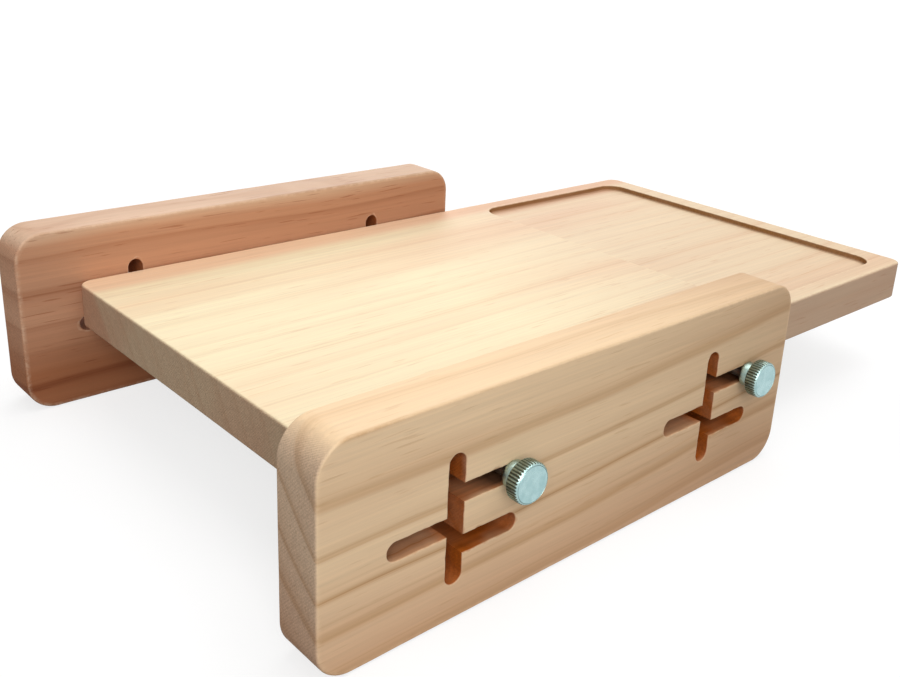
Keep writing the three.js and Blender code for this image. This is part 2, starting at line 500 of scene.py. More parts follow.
class PineSheet(MaterialSheet):
    """Lays out the nodes of one pine.

    Attributes:
        FIBRE: Fine streaks along the grain.
        FIBRE_TONE, TOAST_TONE: What they multiply the colour of plain wood and of the cut walls by.
        FIBRE_SHEEN: How rough they leave the wood.
        FLECKS, FLECKED: Resin flecks, and from where in that pattern they show.
        WANDER: How the rings wander.
        PACE_CELLS, PACE_SWAY: How often the rings' pace changes, in cells to a ring, and by how many rings.
        BAND, BAND_LOT: A broad band's levels across it, and the weakest band.
        LINE, LINE_LOT: A fine line's levels across it, and the weakest line.
        LINES_IN_BANDS: How strong the lines are for the band that they lie in.
        WARM_CLOUDS, WARM_CLOUDED: Warm clouds here and there, and how warm they are.
        SHADE_FADE_SWAY: How the boundary of a painted shade fade wanders.
        SQUARELY: From where a face counts as facing along an axis, and where it does wholly.
        END_CALM: What is left of the lines' strength on end grain.
        SPECKLE, SPECKLE_TONE: The pores of end grain, and what they multiply its colour by.
        STROKES, STROKE_TONE: The saw's strokes there, and what they multiply its colour by.
        REACH, REACHED: Where the cut walls' scorching and painted shade take unevenly, and how far they do.
        TORN, TORN_PALE: Where an arris is pale, partly from wear and partly as a painted highlight, and how
            pale it is there.
        GRIME_SHARE: How fully the knob's painted shadow covers the wood.
        DULLER: How much rougher end grain and cut walls are.
        GLOSS: How much planed wood and cut walls shine.
        LINE_HEIGHT, FIBRE_HEIGHT, FLECK_HEIGHT, STROKE_HEIGHT: How far each stands proud.
        RELIEF, RELIEF_STRENGTH: What a height of 1 stands for, and how much of it shows.
        wood: The pine.
        spot: The point being shaded, moved by the pine's own offset.
        radius: How far from the heart it lies, counted along the wandering rings.
        glow: How far into one of the broad warm bands it is, 0 to 1.
        late: How far into a fine line it is, 0 to 1.
        fibre, fleck: Its streak and its fleck.
        end: How fully it is end grain.
        strokes: The saw's strokes there, 0 to 1.
    """

    FIBRE = Cloud((16.0, 900.0, 900.0), 5.0, 0.65)
    FIBRE_TONE = Span(0.25, 0.75, 0.9, 1.06)
    FIBRE_SHEEN = Span(0.2, 0.8, 0.54, 0.72)
    TOAST_TONE = Span(0.2, 0.8, 0.7, 1.3)
    FLECKS = Cloud((75.0, 1150.0, 1150.0), 1.0)
    FLECKED = Span(0.66, 0.74)
    WANDER = Cloud((7.0, 16.0, 16.0), 2.0, 0.4)
    PACE_CELLS = 0.45
    PACE_SWAY = 1.3
    BAND = ((0.0, 0.3), (0.05, 0.0), (0.35, 0.0), (0.68, 0.3), (0.86, 0.85), (0.94, 1.0), (1.0, 0.3))
    BAND_LOT = 0.25
    LINE = ((0.0, 0.1), (0.1, 0.0), (0.45, 0.0), (0.72, 0.4), (0.86, 1.0), (0.93, 0.8), (1.0, 0.1))
    LINE_LOT = 0.0
    LINES_IN_BANDS = Span(0.1, 0.75, 0.06, 1.0)
    WARM_CLOUDS = Cloud((5.0, 26.0, 26.0), 2.0)
    WARM_CLOUDED = Span(0.5, 0.72, 0.0, 0.55)
    SHADE_FADE_SWAY = Cloud((9.0, 45.0, 45.0), 2.0)
    SQUARELY = Span(0.35, 0.9)
    END_CALM = 0.4
    SPECKLE = Cloud((2600.0,) * 3, 3.0, 0.7)
    SPECKLE_TONE = Span(0.3, 0.7, 0.74, 1.14)
    STROKES = (("Scale", 620.0), ("Distortion", 1.6), ("Detail", 2.0), ("Detail Scale", 0.6))
    STROKE_TONE = Span(to_low=0.93, to_high=1.03)
    REACH = Cloud((62.0,) * 3, 1.0)
    REACHED = Span(0.4, 0.6, 1.0, 0.85)
    TORN = Cloud((420.0,) * 3, 3.0, 0.65)
    TORN_PALE = Span(0.46, 0.6, 0.12, 0.4)
    GRIME_SHARE = 0.85
    DULLER = 0.25
    GLOSS = Span(to_low=0.2, to_high=0.02)
    LINE_HEIGHT = 0.25
    FIBRE_HEIGHT = 0.6
    FLECK_HEIGHT = -0.3
    STROKE_HEIGHT = 0.7
    RELIEF = 0.14 * MM
    RELIEF_STRENGTH = 0.45

    def __init__(self, wood: Pine) -> None:
        """Lays out what both the colour and the relief are made of.

        Args:
            wood: The pine.
        """
        super().__init__(wood.name)
        self.wood = wood
        self.spot = self.vector("ADD", self.reading(Reading.PLACE), wood.offset)
        self.radius = self.ring_distance()
        self.glow = self.broad_bands()
        self.late = self.ring_lines()
        self.fibre = self.cloud(self.spot, self.FIBRE)
        self.fleck = self.cloud(self.spot, self.FLECKS, self.FLECKED)
        self.end = self.facing(Axis.X, self.SQUARELY)
        self.strokes = self.saw_strokes()

    def material_of_wood(self) -> bpy.types.Material:
        """Puts the wood's colour, sheen and relief together.

        Returns:
            The material.
        """
        cut = self.mark(Mark.CUT)
        dull = self.maths("MAXIMUM", self.end, cut)
        sheen = self.span(self.fibre, self.FIBRE_SHEEN)
        self.bump(self.height(), self.RELIEF, self.RELIEF_STRENGTH)
        return self.finish({
            "Base Color": self.worked_and_shaded(self.tinted(self.sawn(self.shade_faded(self.grain())))),
            "Roughness": self.maths("MULTIPLY_ADD", dull, self.DULLER, sheen),
            "Specular IOR Level": self.span(cut, self.GLOSS),
        })

    def ring_distance(self) -> Socket:
        """Measures the point's distance from the heart.

        Returns:
            The distance, counted along the wandering rings.
        """
        away = [
            self.maths("SUBTRACT", self.part(Reading.PLACE, axis), heart)
            for axis, heart in zip((Axis.Y, Axis.Z), self.wood.heart)
        ]
        square = self.maths("ADD", *(self.maths("MULTIPLY", part, part) for part in away))
        along = self.part(Reading.PLACE, Axis.X)
        drift = self.maths("MULTIPLY_ADD", along, self.wood.lean, self.maths("SQRT", square))
        sway = self.maths("SUBTRACT", self.cloud(self.spot, self.WANDER), 0.5)
        return self.maths("MULTIPLY_ADD", sway, self.wood.wave, drift)

    def turns(self, pitch: float) -> Socket:
        """Counts what repeats outwards from the heart, at an uneven pace.

        Args:
            pitch: The distance between two of them, more or less.

        Returns:
            The count, with its fraction.
        """
        pace = self.waver(self.radius, self.PACE_CELLS / pitch)
        return self.maths("MULTIPLY_ADD", pace, self.PACE_SWAY, self.maths("DIVIDE", self.radius, pitch))

    def lot(self, turns: Socket, low: float) -> Socket:
        """Draws a strength for each whole count.

        Args:
            turns: The count.
            low: The weakest there is.

        Returns:
            The strength, up to 1.
        """
        drawn = self.node("ShaderNodeTexWhiteNoise", noise_dimensions="1D")
        self.feed(drawn.inputs["W"], self.maths("FLOOR", turns))
        return self.span(drawn.outputs[0], Span(to_low=low))

    def broad_bands(self) -> Socket:
        """Lays the broad warm bands.

        Returns:
            How far into one of them the point is, 0 to 1.
        """
        turns = self.turns(self.wood.ring)
        band = self.ramp(self.maths("FRACT", turns), self.BAND)
        return self.maths("MULTIPLY", band, self.lot(turns, self.BAND_LOT))

    def ring_lines(self) -> Socket:
        """Lays the fine lines, which are strong in the bands.

        Returns:
            How far into one of them the point is, 0 to 1.
        """
        turns = self.turns(self.wood.line)
        line = self.ramp(self.maths("FRACT", turns), self.LINE)
        in_band = self.span(self.glow, self.LINES_IN_BANDS)
        return self.maths("MULTIPLY", line, self.maths("MULTIPLY", self.lot(turns, self.LINE_LOT), in_band))

    def warmth(self) -> Socket:
        """How warm the wood is, 0 to 1: some of its rings are, and so are clouds here and there."""
        rings = self.span(self.radius, Span(*self.wood.warm, 1.0, 0.0))
        return self.maths("MAXIMUM", rings, self.cloud(self.spot, self.WARM_CLOUDS, self.WARM_CLOUDED))

    def saw_strokes(self) -> Socket:
        """Lays the slanting strokes that a saw leaves on end grain.

        Returns:
            Their level, 0 to 1.
        """
        strokes = self.node("ShaderNodeTexWave", wave_type="BANDS", bands_direction="DIAGONAL")
        for name, value in (("Vector", self.spot), *self.STROKES):
            self.feed(strokes.inputs[name], value)
        return strokes.outputs["Fac"]

    def grain(self) -> Socket:
        """Colours the wood with its rings, fibres and flecks.

        Returns:
            The colour.
        """
        wood = self.wood
        plain = self.mix(self.maths("MULTIPLY", self.warmth(), wood.blush_strength), wood.early, wood.blush)
        top = Span(to_low=wood.glow_strength, to_high=wood.glow_strength * (1.0 - wood.top_calm))
        strength = self.span(self.facing(Axis.Z, self.SQUARELY), top)
        banded = self.mix(self.maths("MULTIPLY", self.glow, strength), plain, wood.late)
        calm = Span(to_low=wood.line_strength, to_high=self.END_CALM * wood.line_strength)
        lined = self.mix(self.maths("MULTIPLY", self.late, self.span(self.end, calm)), banded, wood.late)
        streaked = self.tint(lined, self.span(self.fibre, self.FIBRE_TONE))
        return self.mix(self.maths("MULTIPLY", self.fleck, wood.fleck_strength), streaked, wood.late)

    def shade_faded(self, colour: Socket) -> Socket:
        """Paints shade along the piece, darkening its colour.

        Args:
            colour: The colour so far.

        Returns:
            The changed colour.
        """
        sway = self.cloud(self.spot, self.SHADE_FADE_SWAY)
        for fade in self.wood.fades:
            along = self.maths("MULTIPLY_ADD", sway, fade.sway, self.part(Reading.PLACE, fade.along))
            # Painted shade along the axis.
            colour = self.tint(colour, fade.colour, self.span(along, Span(fade.start, fade.whole)))
        return colour

    def sawn(self, colour: Socket) -> Socket:
        """Adds pores and the saw's strokes where the wood is end grain, and darkens it there with its own
        tone and painted shade.

        Args:
            colour: The colour so far.

        Returns:
            The changed colour.
        """
        # End grain's own darker tone, with painted shade on the end faces.
        across = self.tint(colour, self.wood.end_tint)
        across = self.tint(across, self.cloud(self.spot, self.SPECKLE, self.SPECKLE_TONE))
        across = self.tint(across, self.span(self.strokes, self.STROKE_TONE))
        return self.mix(self.end, colour, across)

    def tinted(self, colour: Socket) -> Socket:
        """Adds painted shade to faces by which way they look, and on the board the sawn edges' own tone.

        Args:
            colour: The colour so far.

        Returns:
            The changed colour.
        """
        # Painted shade on faces towards Y and Z.
        for axis, tint in ((Axis.Y, self.wood.side_tint), (Axis.Z, self.wood.top_tint)):
            colour = self.tint(colour, tint, self.facing(axis, self.SQUARELY))
        return colour

    def worked_and_shaded(self, colour: Socket) -> Socket:
        """Adds scorching and painted shade to cut walls, knobs' painted shadows, and arrises' wear and
        painted highlight.

        Args:
            colour: The colour so far.

        Returns:
            The finished colour.
        """
        toasted_and_shaded = self.tint(self.wood.toasted_and_shaded, self.span(self.fibre, self.TOAST_TONE))
        reach = self.cloud(self.spot, self.REACH, self.REACHED)
        # Cut walls: partly scorching, partly painted shade.
        burnt_and_shaded = self.mix(self.maths("MULTIPLY", self.mark(Mark.CUT), reach), colour, toasted_and_shaded)
        # Painted shadow of a knob in its slot arm.
        cast_shadow = self.maths("MULTIPLY", self.mark(Mark.GRIME), self.GRIME_SHARE)
        shadowed_colour = self.mix(cast_shadow, burnt_and_shaded, self.wood.grime)
        # Pale arrises: partly wear, partly painted highlight.
        wear_and_highlight = self.maths("MULTIPLY", self.mark(Mark.EDGE), self.cloud(self.spot, self.TORN, self.TORN_PALE))
        return self.mix(wear_and_highlight, shadowed_colour, self.wood.early)

    def height(self) -> Socket:
        """Puts the surface's relief together.

        Returns:
            The height, about 0 to 1.
        """
        flat = self.maths("MULTIPLY", self.fibre, self.FIBRE_HEIGHT)
        flat = self.maths("MULTIPLY_ADD", self.late, self.LINE_HEIGHT, flat)
        flat = self.maths("MULTIPLY_ADD", self.fleck, self.FLECK_HEIGHT, flat)
        strokes = self.maths("MULTIPLY", self.strokes, self.end)
        return self.maths("MULTIPLY_ADD", strokes, self.STROKE_HEIGHT, flat)


@dataclass(frozen=True)
class TurnedMetal:
    """Turned metal, bright or plated, with its lathe marks, soiling in the knurling, and painted shade on a
    knob's neck and round its face.

    Attributes:
        PATCHES: Where the metal is duller.
        PATCH_SHARE, FLANK_SHARE: How much duller the patches are on the faces and on the flanks.
        SHEEN: How far the patches' roughness lies below and above the metal's own.
        GRAIN, GRAIN_HEIGHT: Its fine grain, and how far that stands proud.
        MARK_HEIGHT: How far the lathe's marks stand proud.
        ALONG: From where a surface counts as a flank: it faces away from the axis, which runs along Y.
        GRIME_DULL: How much rougher the metal is where it is soiled and where shade is painted.
        RELIEF, RELIEF_STRENGTH: What a height of 1 stands for, and how much of it shows.
        name: The material's name.
        bright: Colour of the clean metal.
        cloudy: Colour where the plating is duller.
        flank: Colour of the turned flanks.
        grime: Colour of soiling in the knurling and thread, and of painted shade on a knob's neck and round
            its face.
        roughness: Roughness of the clean metal.
        marks: Lathe marks to the metre.
    """

    PATCHES = Cloud((420.0,) * 3, 3.0, 0.6)
    PATCH_SHARE = Span(0.35, 0.7)
    FLANK_SHARE = Span(0.4, 0.65, 0.0, 0.5)
    SHEEN = Span(0.3, 0.7, -0.05, 0.1)
    GRAIN = Cloud((5200.0,) * 3, 2.0, 0.6)
    GRAIN_HEIGHT = 0.3
    MARK_HEIGHT = 0.7
    ALONG = Span(0.3, 0.9, 1.0, 0.0)
    GRIME_DULL = 0.2
    RELIEF = 0.03 * MM
    RELIEF_STRENGTH = 0.25

    name: str
    bright: Colour
    cloudy: Colour
    flank: Colour
    grime: Colour
    roughness: float
    marks: float = 5200.0

    def material(self) -> bpy.types.Material:
        """Builds the material.

        Returns:
            The material.
        """
        sheet = MaterialSheet(self.name)
        place = sheet.reading(Reading.PLACE)
        patch = sheet.cloud(place, self.PATCHES)
        # Soiling in the knurling and thread, and painted shade on a knob's neck and round its face.
        valley = sheet.mark(Mark.VALLEY)
        face = sheet.mix(sheet.span(patch, self.PATCH_SHARE), self.bright, self.cloudy)
        flank = sheet.mix(sheet.span(patch, self.FLANK_SHARE), self.flank, face)
        metal = sheet.mix(sheet.facing(Axis.Y, self.ALONG), face, flank)
        sheen = sheet.maths("ADD", sheet.span(patch, self.SHEEN), self.roughness)
        marks = sheet.maths("MULTIPLY", sheet.waver(sheet.mark(Mark.TURNED), self.marks), self.MARK_HEIGHT)
        grain = sheet.cloud(place, self.GRAIN)
        relief = sheet.maths("MULTIPLY_ADD", grain, self.GRAIN_HEIGHT, marks)
        sheet.bump(relief, self.RELIEF, self.RELIEF_STRENGTH)
        return sheet.finish({
            "Base Color": sheet.mix(valley, metal, self.grime),
            "Roughness": sheet.maths("MULTIPLY_ADD", valley, self.GRIME_DULL, sheen),
            "Metallic": 1.0,
        })


@dataclass(frozen=True)
class PaleFloor:
    """A plain pale surface that keeps a soft shadow and shows white to the camera and in reflections.

    Attributes:
        name: The material's name.
        pale: Its colour.
        glow: How much of its white does not depend on the lamps, near the object.
        near, far: Where that share starts to rise, and where it is the whole of it.
        roughness: How dull it is.
    """

    name: str
    pale: Colour
    glow: float
    near: float = 0.5
    far: float = 1.6
    roughness: float = 0.9

    def material(self) -> bpy.types.Material:
        """Builds the material.

        Returns:
            The material.
        """
        sheet = MaterialSheet(self.name)
        away = sheet.node("ShaderNodeVectorMath", operation="LENGTH")
        sheet.feed(away.inputs[0], sheet.reading(Reading.PLACE))
        glow = sheet.span(away.outputs["Value"], Span(self.near, self.far, self.glow))
        return sheet.finish({
            "Base Color": self.pale,
            "Roughness": self.roughness,
            "Specular IOR Level": 0.0,
            "Emission Color": WHITE,
            "Emission Strength": sheet.maths("MULTIPLY", sheet.seen_rays(), glow),
        })


def arc(centre: Sequence[float], radius: float, start: float, stop: float, steps: int) -> np.ndarray:
    """Points along a round stretch.

    Args:
        centre: Its centre.
        radius: Its radius.
        start, stop: The angles that it runs between, in radians.
        steps: How many pieces it has.

    Returns:
        The points, both ends included.
    """
    turn = np.linspace(start, stop, steps + 1)
    return np.stack([centre[0] + radius * np.cos(turn), centre[1] + radius * np.sin(turn)], axis=1)


def circle(sides: int) -> tuple[np.ndarray, np.ndarray]:
    """A whole round.

    Args:
        sides: How many points it has.

    Returns:
        The angle of each point, and the points themselves at a radius of 1.
    """
    turn = np.linspace(0.0, FULL_TURN, sides, endpoint=False)
    return turn, np.stack([np.cos(turn), np.sin(turn)], axis=1)


def zigzag(turns: np.ndarray) -> np.ndarray:
    """Goes from 1 at each whole number down to 0 half way and up to 1 again at the next."""
    return np.abs(2.0 * np.mod(turns, 1.0) - 1.0)


def steepened(wave: np.ndarray, steepness: float, cut: float) -> np.ndarray:
    """Makes a wave steeper, lowers it by what is cut off and holds it between 0 and 1."""
    return np.clip(steepness * wave - cut, 0.0, 1.0)


def resample(loop: np.ndarray, spacing: float, clear: float) -> np.ndarray:
    """Adds points to the long stretches of a closed outline.

    Args:
        loop: The outline's points.
        spacing: The longest stretch that is left between added points.
        clear: How much is left whole at each end of a stretch, so that a moved outline can't fold over.

    Returns:
        The outline with its own points and the added ones.
    """
    rows = []
    for here, there in zip(loop, np.roll(loop, -1, axis=0)):
        rows.append(here)
        length = float(np.hypot(*(there - here)))
        if length > 2.0 * clear + spacing:
            count = math.ceil((length - 2.0 * clear) / spacing)
            along = np.linspace(clear, length - clear, count + 1) / length
            rows.extend(here + (there - here) * share for share in along)
    return np.array(rows)


def inset(loop: np.ndarray, distance: float | np.ndarray) -> np.ndarray:
    """Moves a closed outline sideways, to the left of the way that it runs.

    Args:
        loop: The outline's points.
        distance: How far they move, one number for all or one for each.

    Returns:
        The moved points.
    """
    ahead = np.roll(loop, -1, axis=0) - loop
    ahead /= np.linalg.norm(ahead, axis=1)[:, None]
    left_ahead = np.stack([-ahead[:, 1], ahead[:, 0]], axis=1)
    left_behind = np.roll(left_ahead, 1, axis=0)
    spread = 1.0 + np.sum(left_ahead * left_behind, axis=1)
    each = np.broadcast_to(distance, (len(loop),))
    return loop + (left_ahead + left_behind) / spread[:, None] * each[:, None]


def anticlockwise(loop: Sequence[np.ndarray]) -> bool:
    """Tells which way a closed outline runs.

    Args:
        loop: The outline's points.

    Returns:
        Whether that is anticlockwise.
    """
    here = np.array(loop)
    there = np.roll(here, -1, axis=0)
    return float(np.sum(here[:, 0] * there[:, 1] - there[:, 0] * here[:, 1])) > 0.0


def wander(loop: np.ndarray, cell: float, seed: float) -> np.ndarray:
    """Smooth chance along an outline, so that edges aren't ruler straight.

    Args:
        loop: The outline's points.
        cell: How long a wave is.
        seed: Picks another pattern.

    Returns:
        One number from -1 to 1 for each point.
    """
    return np.array([noise.noise(Vector((x / cell, y / cell, seed))) for x, y in loop])


def swell(loop: np.ndarray, cell: float, seed: float) -> np.ndarray:
    """The same chance as numbers from 0 to 1."""
    return 0.5 + 0.5 * wander(loop, cell, seed)


def rounded_rectangle(low: Sequence[float], high: Sequence[float], radius: float, steps: int) -> np.ndarray:
    """A rectangle with round corners, anticlockwise.

    Args:
        low, high: Its lowest and highest corner.
        radius: The corners' radius.
        steps: How many pieces each corner has.

    Returns:
        The outline's points.
    """
    left, bottom = low[0] + radius, low[1] + radius
    right, top = high[0] - radius, high[1] - radius
    centres = ((right, bottom), (right, top), (left, top), (left, bottom))
    return np.concatenate([
        arc(centre, radius, (count - 1) * QUARTER_TURN, count * QUARTER_TURN, steps)
        for count, centre in enumerate(centres)
    ])


def square_to(axis: Axis) -> ToSpace:
    """A way into space for flat rings that lie square to one of the part's axes."""
    place = list(Axis).index(axis)
    return lambda flat, height: np.insert(flat, place, height, axis=1)


def round_axis(placing: Matrix) -> ToSpace:
    """A way into space for rings that lie square to Z before a placing moves them."""
    return lambda flat, height: np.array([placing @ Vector((x, y, height)) for x, y in flat])


def into_scene(name: str, data: bpy.types.ID) -> bpy.types.Object:
    """Puts a new object in the scene.

    Args:
        name: Its name.
        data: What it shows.

    Returns:
        The object.
    """
    made = bpy.data.objects.new(name, data)
    bpy.context.scene.collection.objects.link(made)
    return made


class MeshSketch:
    """Collects rings of points and the faces between them, then makes one closed mesh.

    Attributes:
        INSIDE_OUTLINES: The kind of fill that stops at the outlines.
        OUTER_ALONE: The outlines round a triangle that lies in the outer ring and in none of the holes.
        SAME_PLACE: How near two points of a flat face are taken as one.
        to_space: Puts a flat ring at a height into space.
        flat, points: Its points, flat and in space.
        faces: The points of each face, by number.
        marks: The numbers kept at the points.
    """

    INSIDE_OUTLINES = 1
    OUTER_ALONE = (0,)
    SAME_PLACE = 0.0001 * MM

    def __init__(self, to_space: ToSpace) -> None:
        """Starts an empty mesh.

        Args:
            to_space: Its way into space.
        """
        self.to_space = to_space
        self.flat: list[np.ndarray] = []
        self.points: list[np.ndarray] = []
        self.faces: list[tuple[int, ...]] = []
        self.marks: dict[Mark, list[float]] = {mark: [] for mark in Mark}

    def ring(self, flat: np.ndarray, height: float, marks: Mapping[Mark, object] | None = None) -> Ring:
        """Adds a ring of points.

        Args:
            flat: The ring's points, flat.
            height: Its height.
            marks: Numbers kept at its points, one for all or one for each.

        Returns:
            The new points' numbers.
        """
        first = len(self.points)
        self.flat.extend(flat)
        self.points.extend(self.to_space(flat, height))
        for mark, kept in self.marks.items():
            value = (marks or {}).get(mark, 0.0)
            kept.extend(np.broadcast_to(value, (len(flat),)).tolist())
        return list(range(first, len(self.points)))

    def bridge(self, low: Ring, high: Ring) -> None:
        """Joins two rings of as many points."""
        for a, b, c, d in zip(low, low[1:] + low[:1], high[1:] + high[:1], high):
            self.faces.append((a, b, c, d))

    def stack(self, rings: Sequence[Ring]) -> None:
        """Joins each ring to the next."""
        for low, high in zip(rings, rings[1:]):
            self.bridge(low, high)

    def fan(self, ring: Ring, height: float) -> None:
        """Closes a ring on a point of the axis.

        Args:
            ring: The ring.
            height: The point's height.
        """
        middle = self.ring(np.zeros((1, 2)), height)[0]
        for point, following in zip(ring, ring[1:] + ring[:1]):
            self.faces.append((middle, point, following))

    def close(self, rings: Sequence[Ring], low: float, high: float) -> None:
        """Joins a turned piece's rings and closes both of its ends.

        Args:
            rings: The rings.
            low, high: Heights of the first and the last.
        """
        self.stack(rings)
        self.fan(rings[0], low)
        self.fan(rings[-1], high)

    def cap(self, rings: Sequence[Ring]) -> None:
        """Fills a flat face between an outer ring and the holes in it.

        Args:
            rings: The outer ring, then one for each hole.
        """
        numbers: Ring = []
        outlines: list[Ring] = []
        for ring in rings:
            order = list(range(len(numbers), len(numbers) + len(ring)))
            outlines.append(order if anticlockwise([self.flat[point] for point in ring]) else order[::-1])
            numbers.extend(ring)
        places = [Vector(self.flat[point]) for point in numbers]
        _, _, triangles, sources, _, within = delaunay_2d_cdt(
            places, [], outlines, self.INSIDE_OUTLINES, self.SAME_PLACE,
        )
        for corners, outside in zip(triangles, within):
            if tuple(outside) == self.OUTER_ALONE:
                self.faces.append(tuple(numbers[sources[corner][0]] for corner in corners))

    def build(self, name: str, sharp: float) -> bpy.types.Object:
        """Makes the mesh object.

        Args:
            name: The piece's name.
            sharp: Edges that turn more than this many degrees stay sharp.

        Returns:
            The new object, in the scene.
        """
        mesh = bpy.data.meshes.new(name)
        mesh.from_pydata([tuple(map(float, point)) for point in self.points], [], self.faces)
        for mark, values in self.marks.items():
            layer = mesh.attributes.new(mark.value, "FLOAT", "POINT")
            layer.data.foreach_set("value", values)
        work = bmesh.new()
        work.from_mesh(mesh)
        bmesh.ops.recalc_face_normals(work, faces=work.faces[:])
        work.to_mesh(mesh)
        work.free()
        mesh.shade_smooth()
        mesh.set_sharp_from_angle(angle=math.radians(sharp))
        return into_scene(name, mesh)


def keep_modifiers(piece: bpy.types.Object) -> None:
    """Turns what a piece's modifiers make into its own mesh.

    Args:
        piece: The piece.
    """
    shown = piece.evaluated_get(bpy.context.evaluated_depsgraph_get())
    mesh = bpy.data.meshes.new_from_object(shown)
    piece.modifiers.clear()
    piece.data = mesh


def weight_normals(piece: bpy.types.Object) -> None:
    """Keeps large flat faces flat where they meet small rounded ones.

    Args:
        piece: The piece.
    """
    made = piece.modifiers.new("weighted normals", "WEIGHTED_NORMAL")
    made.keep_sharp = True
    keep_modifiers(piece)


def fillet(radius: float, steps: int) -> list[tuple[float, float]]:
    """A quarter round from a flat face to the wall beside it.

    Args:
        radius: Its radius.
        steps: How many pieces it has.

    Returns:
        For each step, how far in it lies and how far below the face.
    """
    turns = [QUARTER_TURN * step / steps for step in range(steps + 1)]
    return [(radius * (1.0 - math.sin(turn)), radius * (1.0 - math.cos(turn))) for turn in turns]


@dataclass(frozen=True)
class Eased:
    """How an outline's edges are eased where its wall meets a face.

    Attributes:
        UNEVEN_WAVE: How long a wave of the rounding's unevenness is.
        CHIP_WAVE, CHIP_SEED: How long a chip is, and what makes their pattern another one.
        CHIP_STEEP, CHIP_RARE: How steeply a chip starts, and how rare they are.
        WEAR_AND_HIGHLIGHT_START: How pale the flat face's side of the rounding is already, from wear and
            painted highlight, as a share of the way round.
        radius: The rounding's radius.
        steps: How many pieces the rounding has.
        guard: Width of the strip of flat face that keeps the pale arris, wear and painted highlight, from
            spreading.
        uneven: How much the rounding varies along the edge, as a share of its radius.
        chips: How far the largest chips widen it, as a share of its radius.
        wobble: How far the outline itself wanders.
        wave: How long a wave of that is.
    """

    UNEVEN_WAVE = 16.0 * MM
    CHIP_WAVE = 2.6 * MM
    CHIP_SEED = 5.0
    CHIP_STEEP = 3.0
    CHIP_RARE = 0.7
    WEAR_AND_HIGHLIGHT_START = 0.25

    radius: float
    steps: int = 5
    guard: float = 0.9 * MM
    uneven: float = 0.25
    chips: float = 0.0
    wobble: float = 0.0
    wave: float = 7.0 * MM

    def settled(self, loop: np.ndarray, seed: float) -> np.ndarray:
        """The outline with its wander, which only ever takes wood away."""
        return inset(loop, self.wobble * swell(loop, self.wave, seed))

    def width(self, loop: np.ndarray, seed: float) -> np.ndarray:
        """Varies the rounding's width along an outline.

        Args:
            loop: The outline.
            seed: What picks the pattern.

        Returns:
            The width at each point, as a share of the radius.
        """
        vary = 1.0 + self.uneven * wander(loop, self.UNEVEN_WAVE, seed)
        if self.chips > 0.0:
            chance = wander(loop, self.CHIP_WAVE, seed + self.CHIP_SEED)
            vary += self.chips * steepened(chance, self.CHIP_STEEP, self.CHIP_RARE)
        return vary

    def strip(
        self, sketch: MeshSketch, loop: np.ndarray, face: float, down: float, cut: float | np.ndarray,
    ) -> list[Ring]:
        """Adds the rings from a flat face over its eased edge to the wall.

        Args:
            sketch: The mesh being made.
            loop: The outline at the wall.
            face: Height of the flat face.
            down: The way from that face into the piece, 1 or -1.
            cut: How dark the wall is, from scorching and painted shade, one number for all or one for each
                point.

        Returns:
            The rings, from the one on the flat face to the one on the wall.
        """
        vary = self.width(loop, face / MM)
        rings = [sketch.ring(inset(loop, self.radius * vary + self.guard), face)]
        for step, (inward, below) in enumerate(fillet(self.radius, self.steps)):
            share = step / self.steps
            # Pale arris: partly wear, partly painted highlight.
            wear_and_highlight = math.sin(HALF_TURN * min(share + self.WEAR_AND_HIGHLIGHT_START, 1.0))
            marks = {Mark.EDGE: wear_and_highlight, Mark.CUT: cut * share}
            rings.append(sketch.ring(inset(loop, inward * vary), face + down * below, marks))
        return rings

    def wall(
        self, sketch: MeshSketch, loop: np.ndarray, low: float, high: float, cut: float | np.ndarray = 0.0,
        between: Callable[[], list[Ring]] = list,
    ) -> tuple[Ring, Ring]:
        """Adds a whole wall between two flat faces, with both of its edges eased.

        Args:
            sketch: The mesh being made.
            loop: The wall's outline.
            low, high: Heights of the two faces.
            cut: How dark the wall is, from scorching and painted shade, one number for all or one for each
                point.
            between: Adds the rings between the two edges, if there are any.

        Returns:
            The rings that the low and the high face meet.
        """
        first = self.strip(sketch, loop, low, down=1.0, cut=cut)
        last = self.strip(sketch, loop, high, down=-1.0, cut=cut)
        sketch.stack(first + between() + last[::-1])
        return first[0], last[0]


def settle(piece: bpy.types.Object, finish: bpy.types.Material, body: str, node: str) -> None:
    """Finishes a piece and puts it on its body in place of a plain node.

    Args:
        piece: The piece.
        finish: Its material.
        body: The body that it moves with.
        node: The node that it stands for.
    """
    piece.data.materials.append(finish)
    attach(piece, body)
    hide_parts(node)
    log.info("%s: %d faces, on %s", piece.name, len(piece.data.polygons), body)


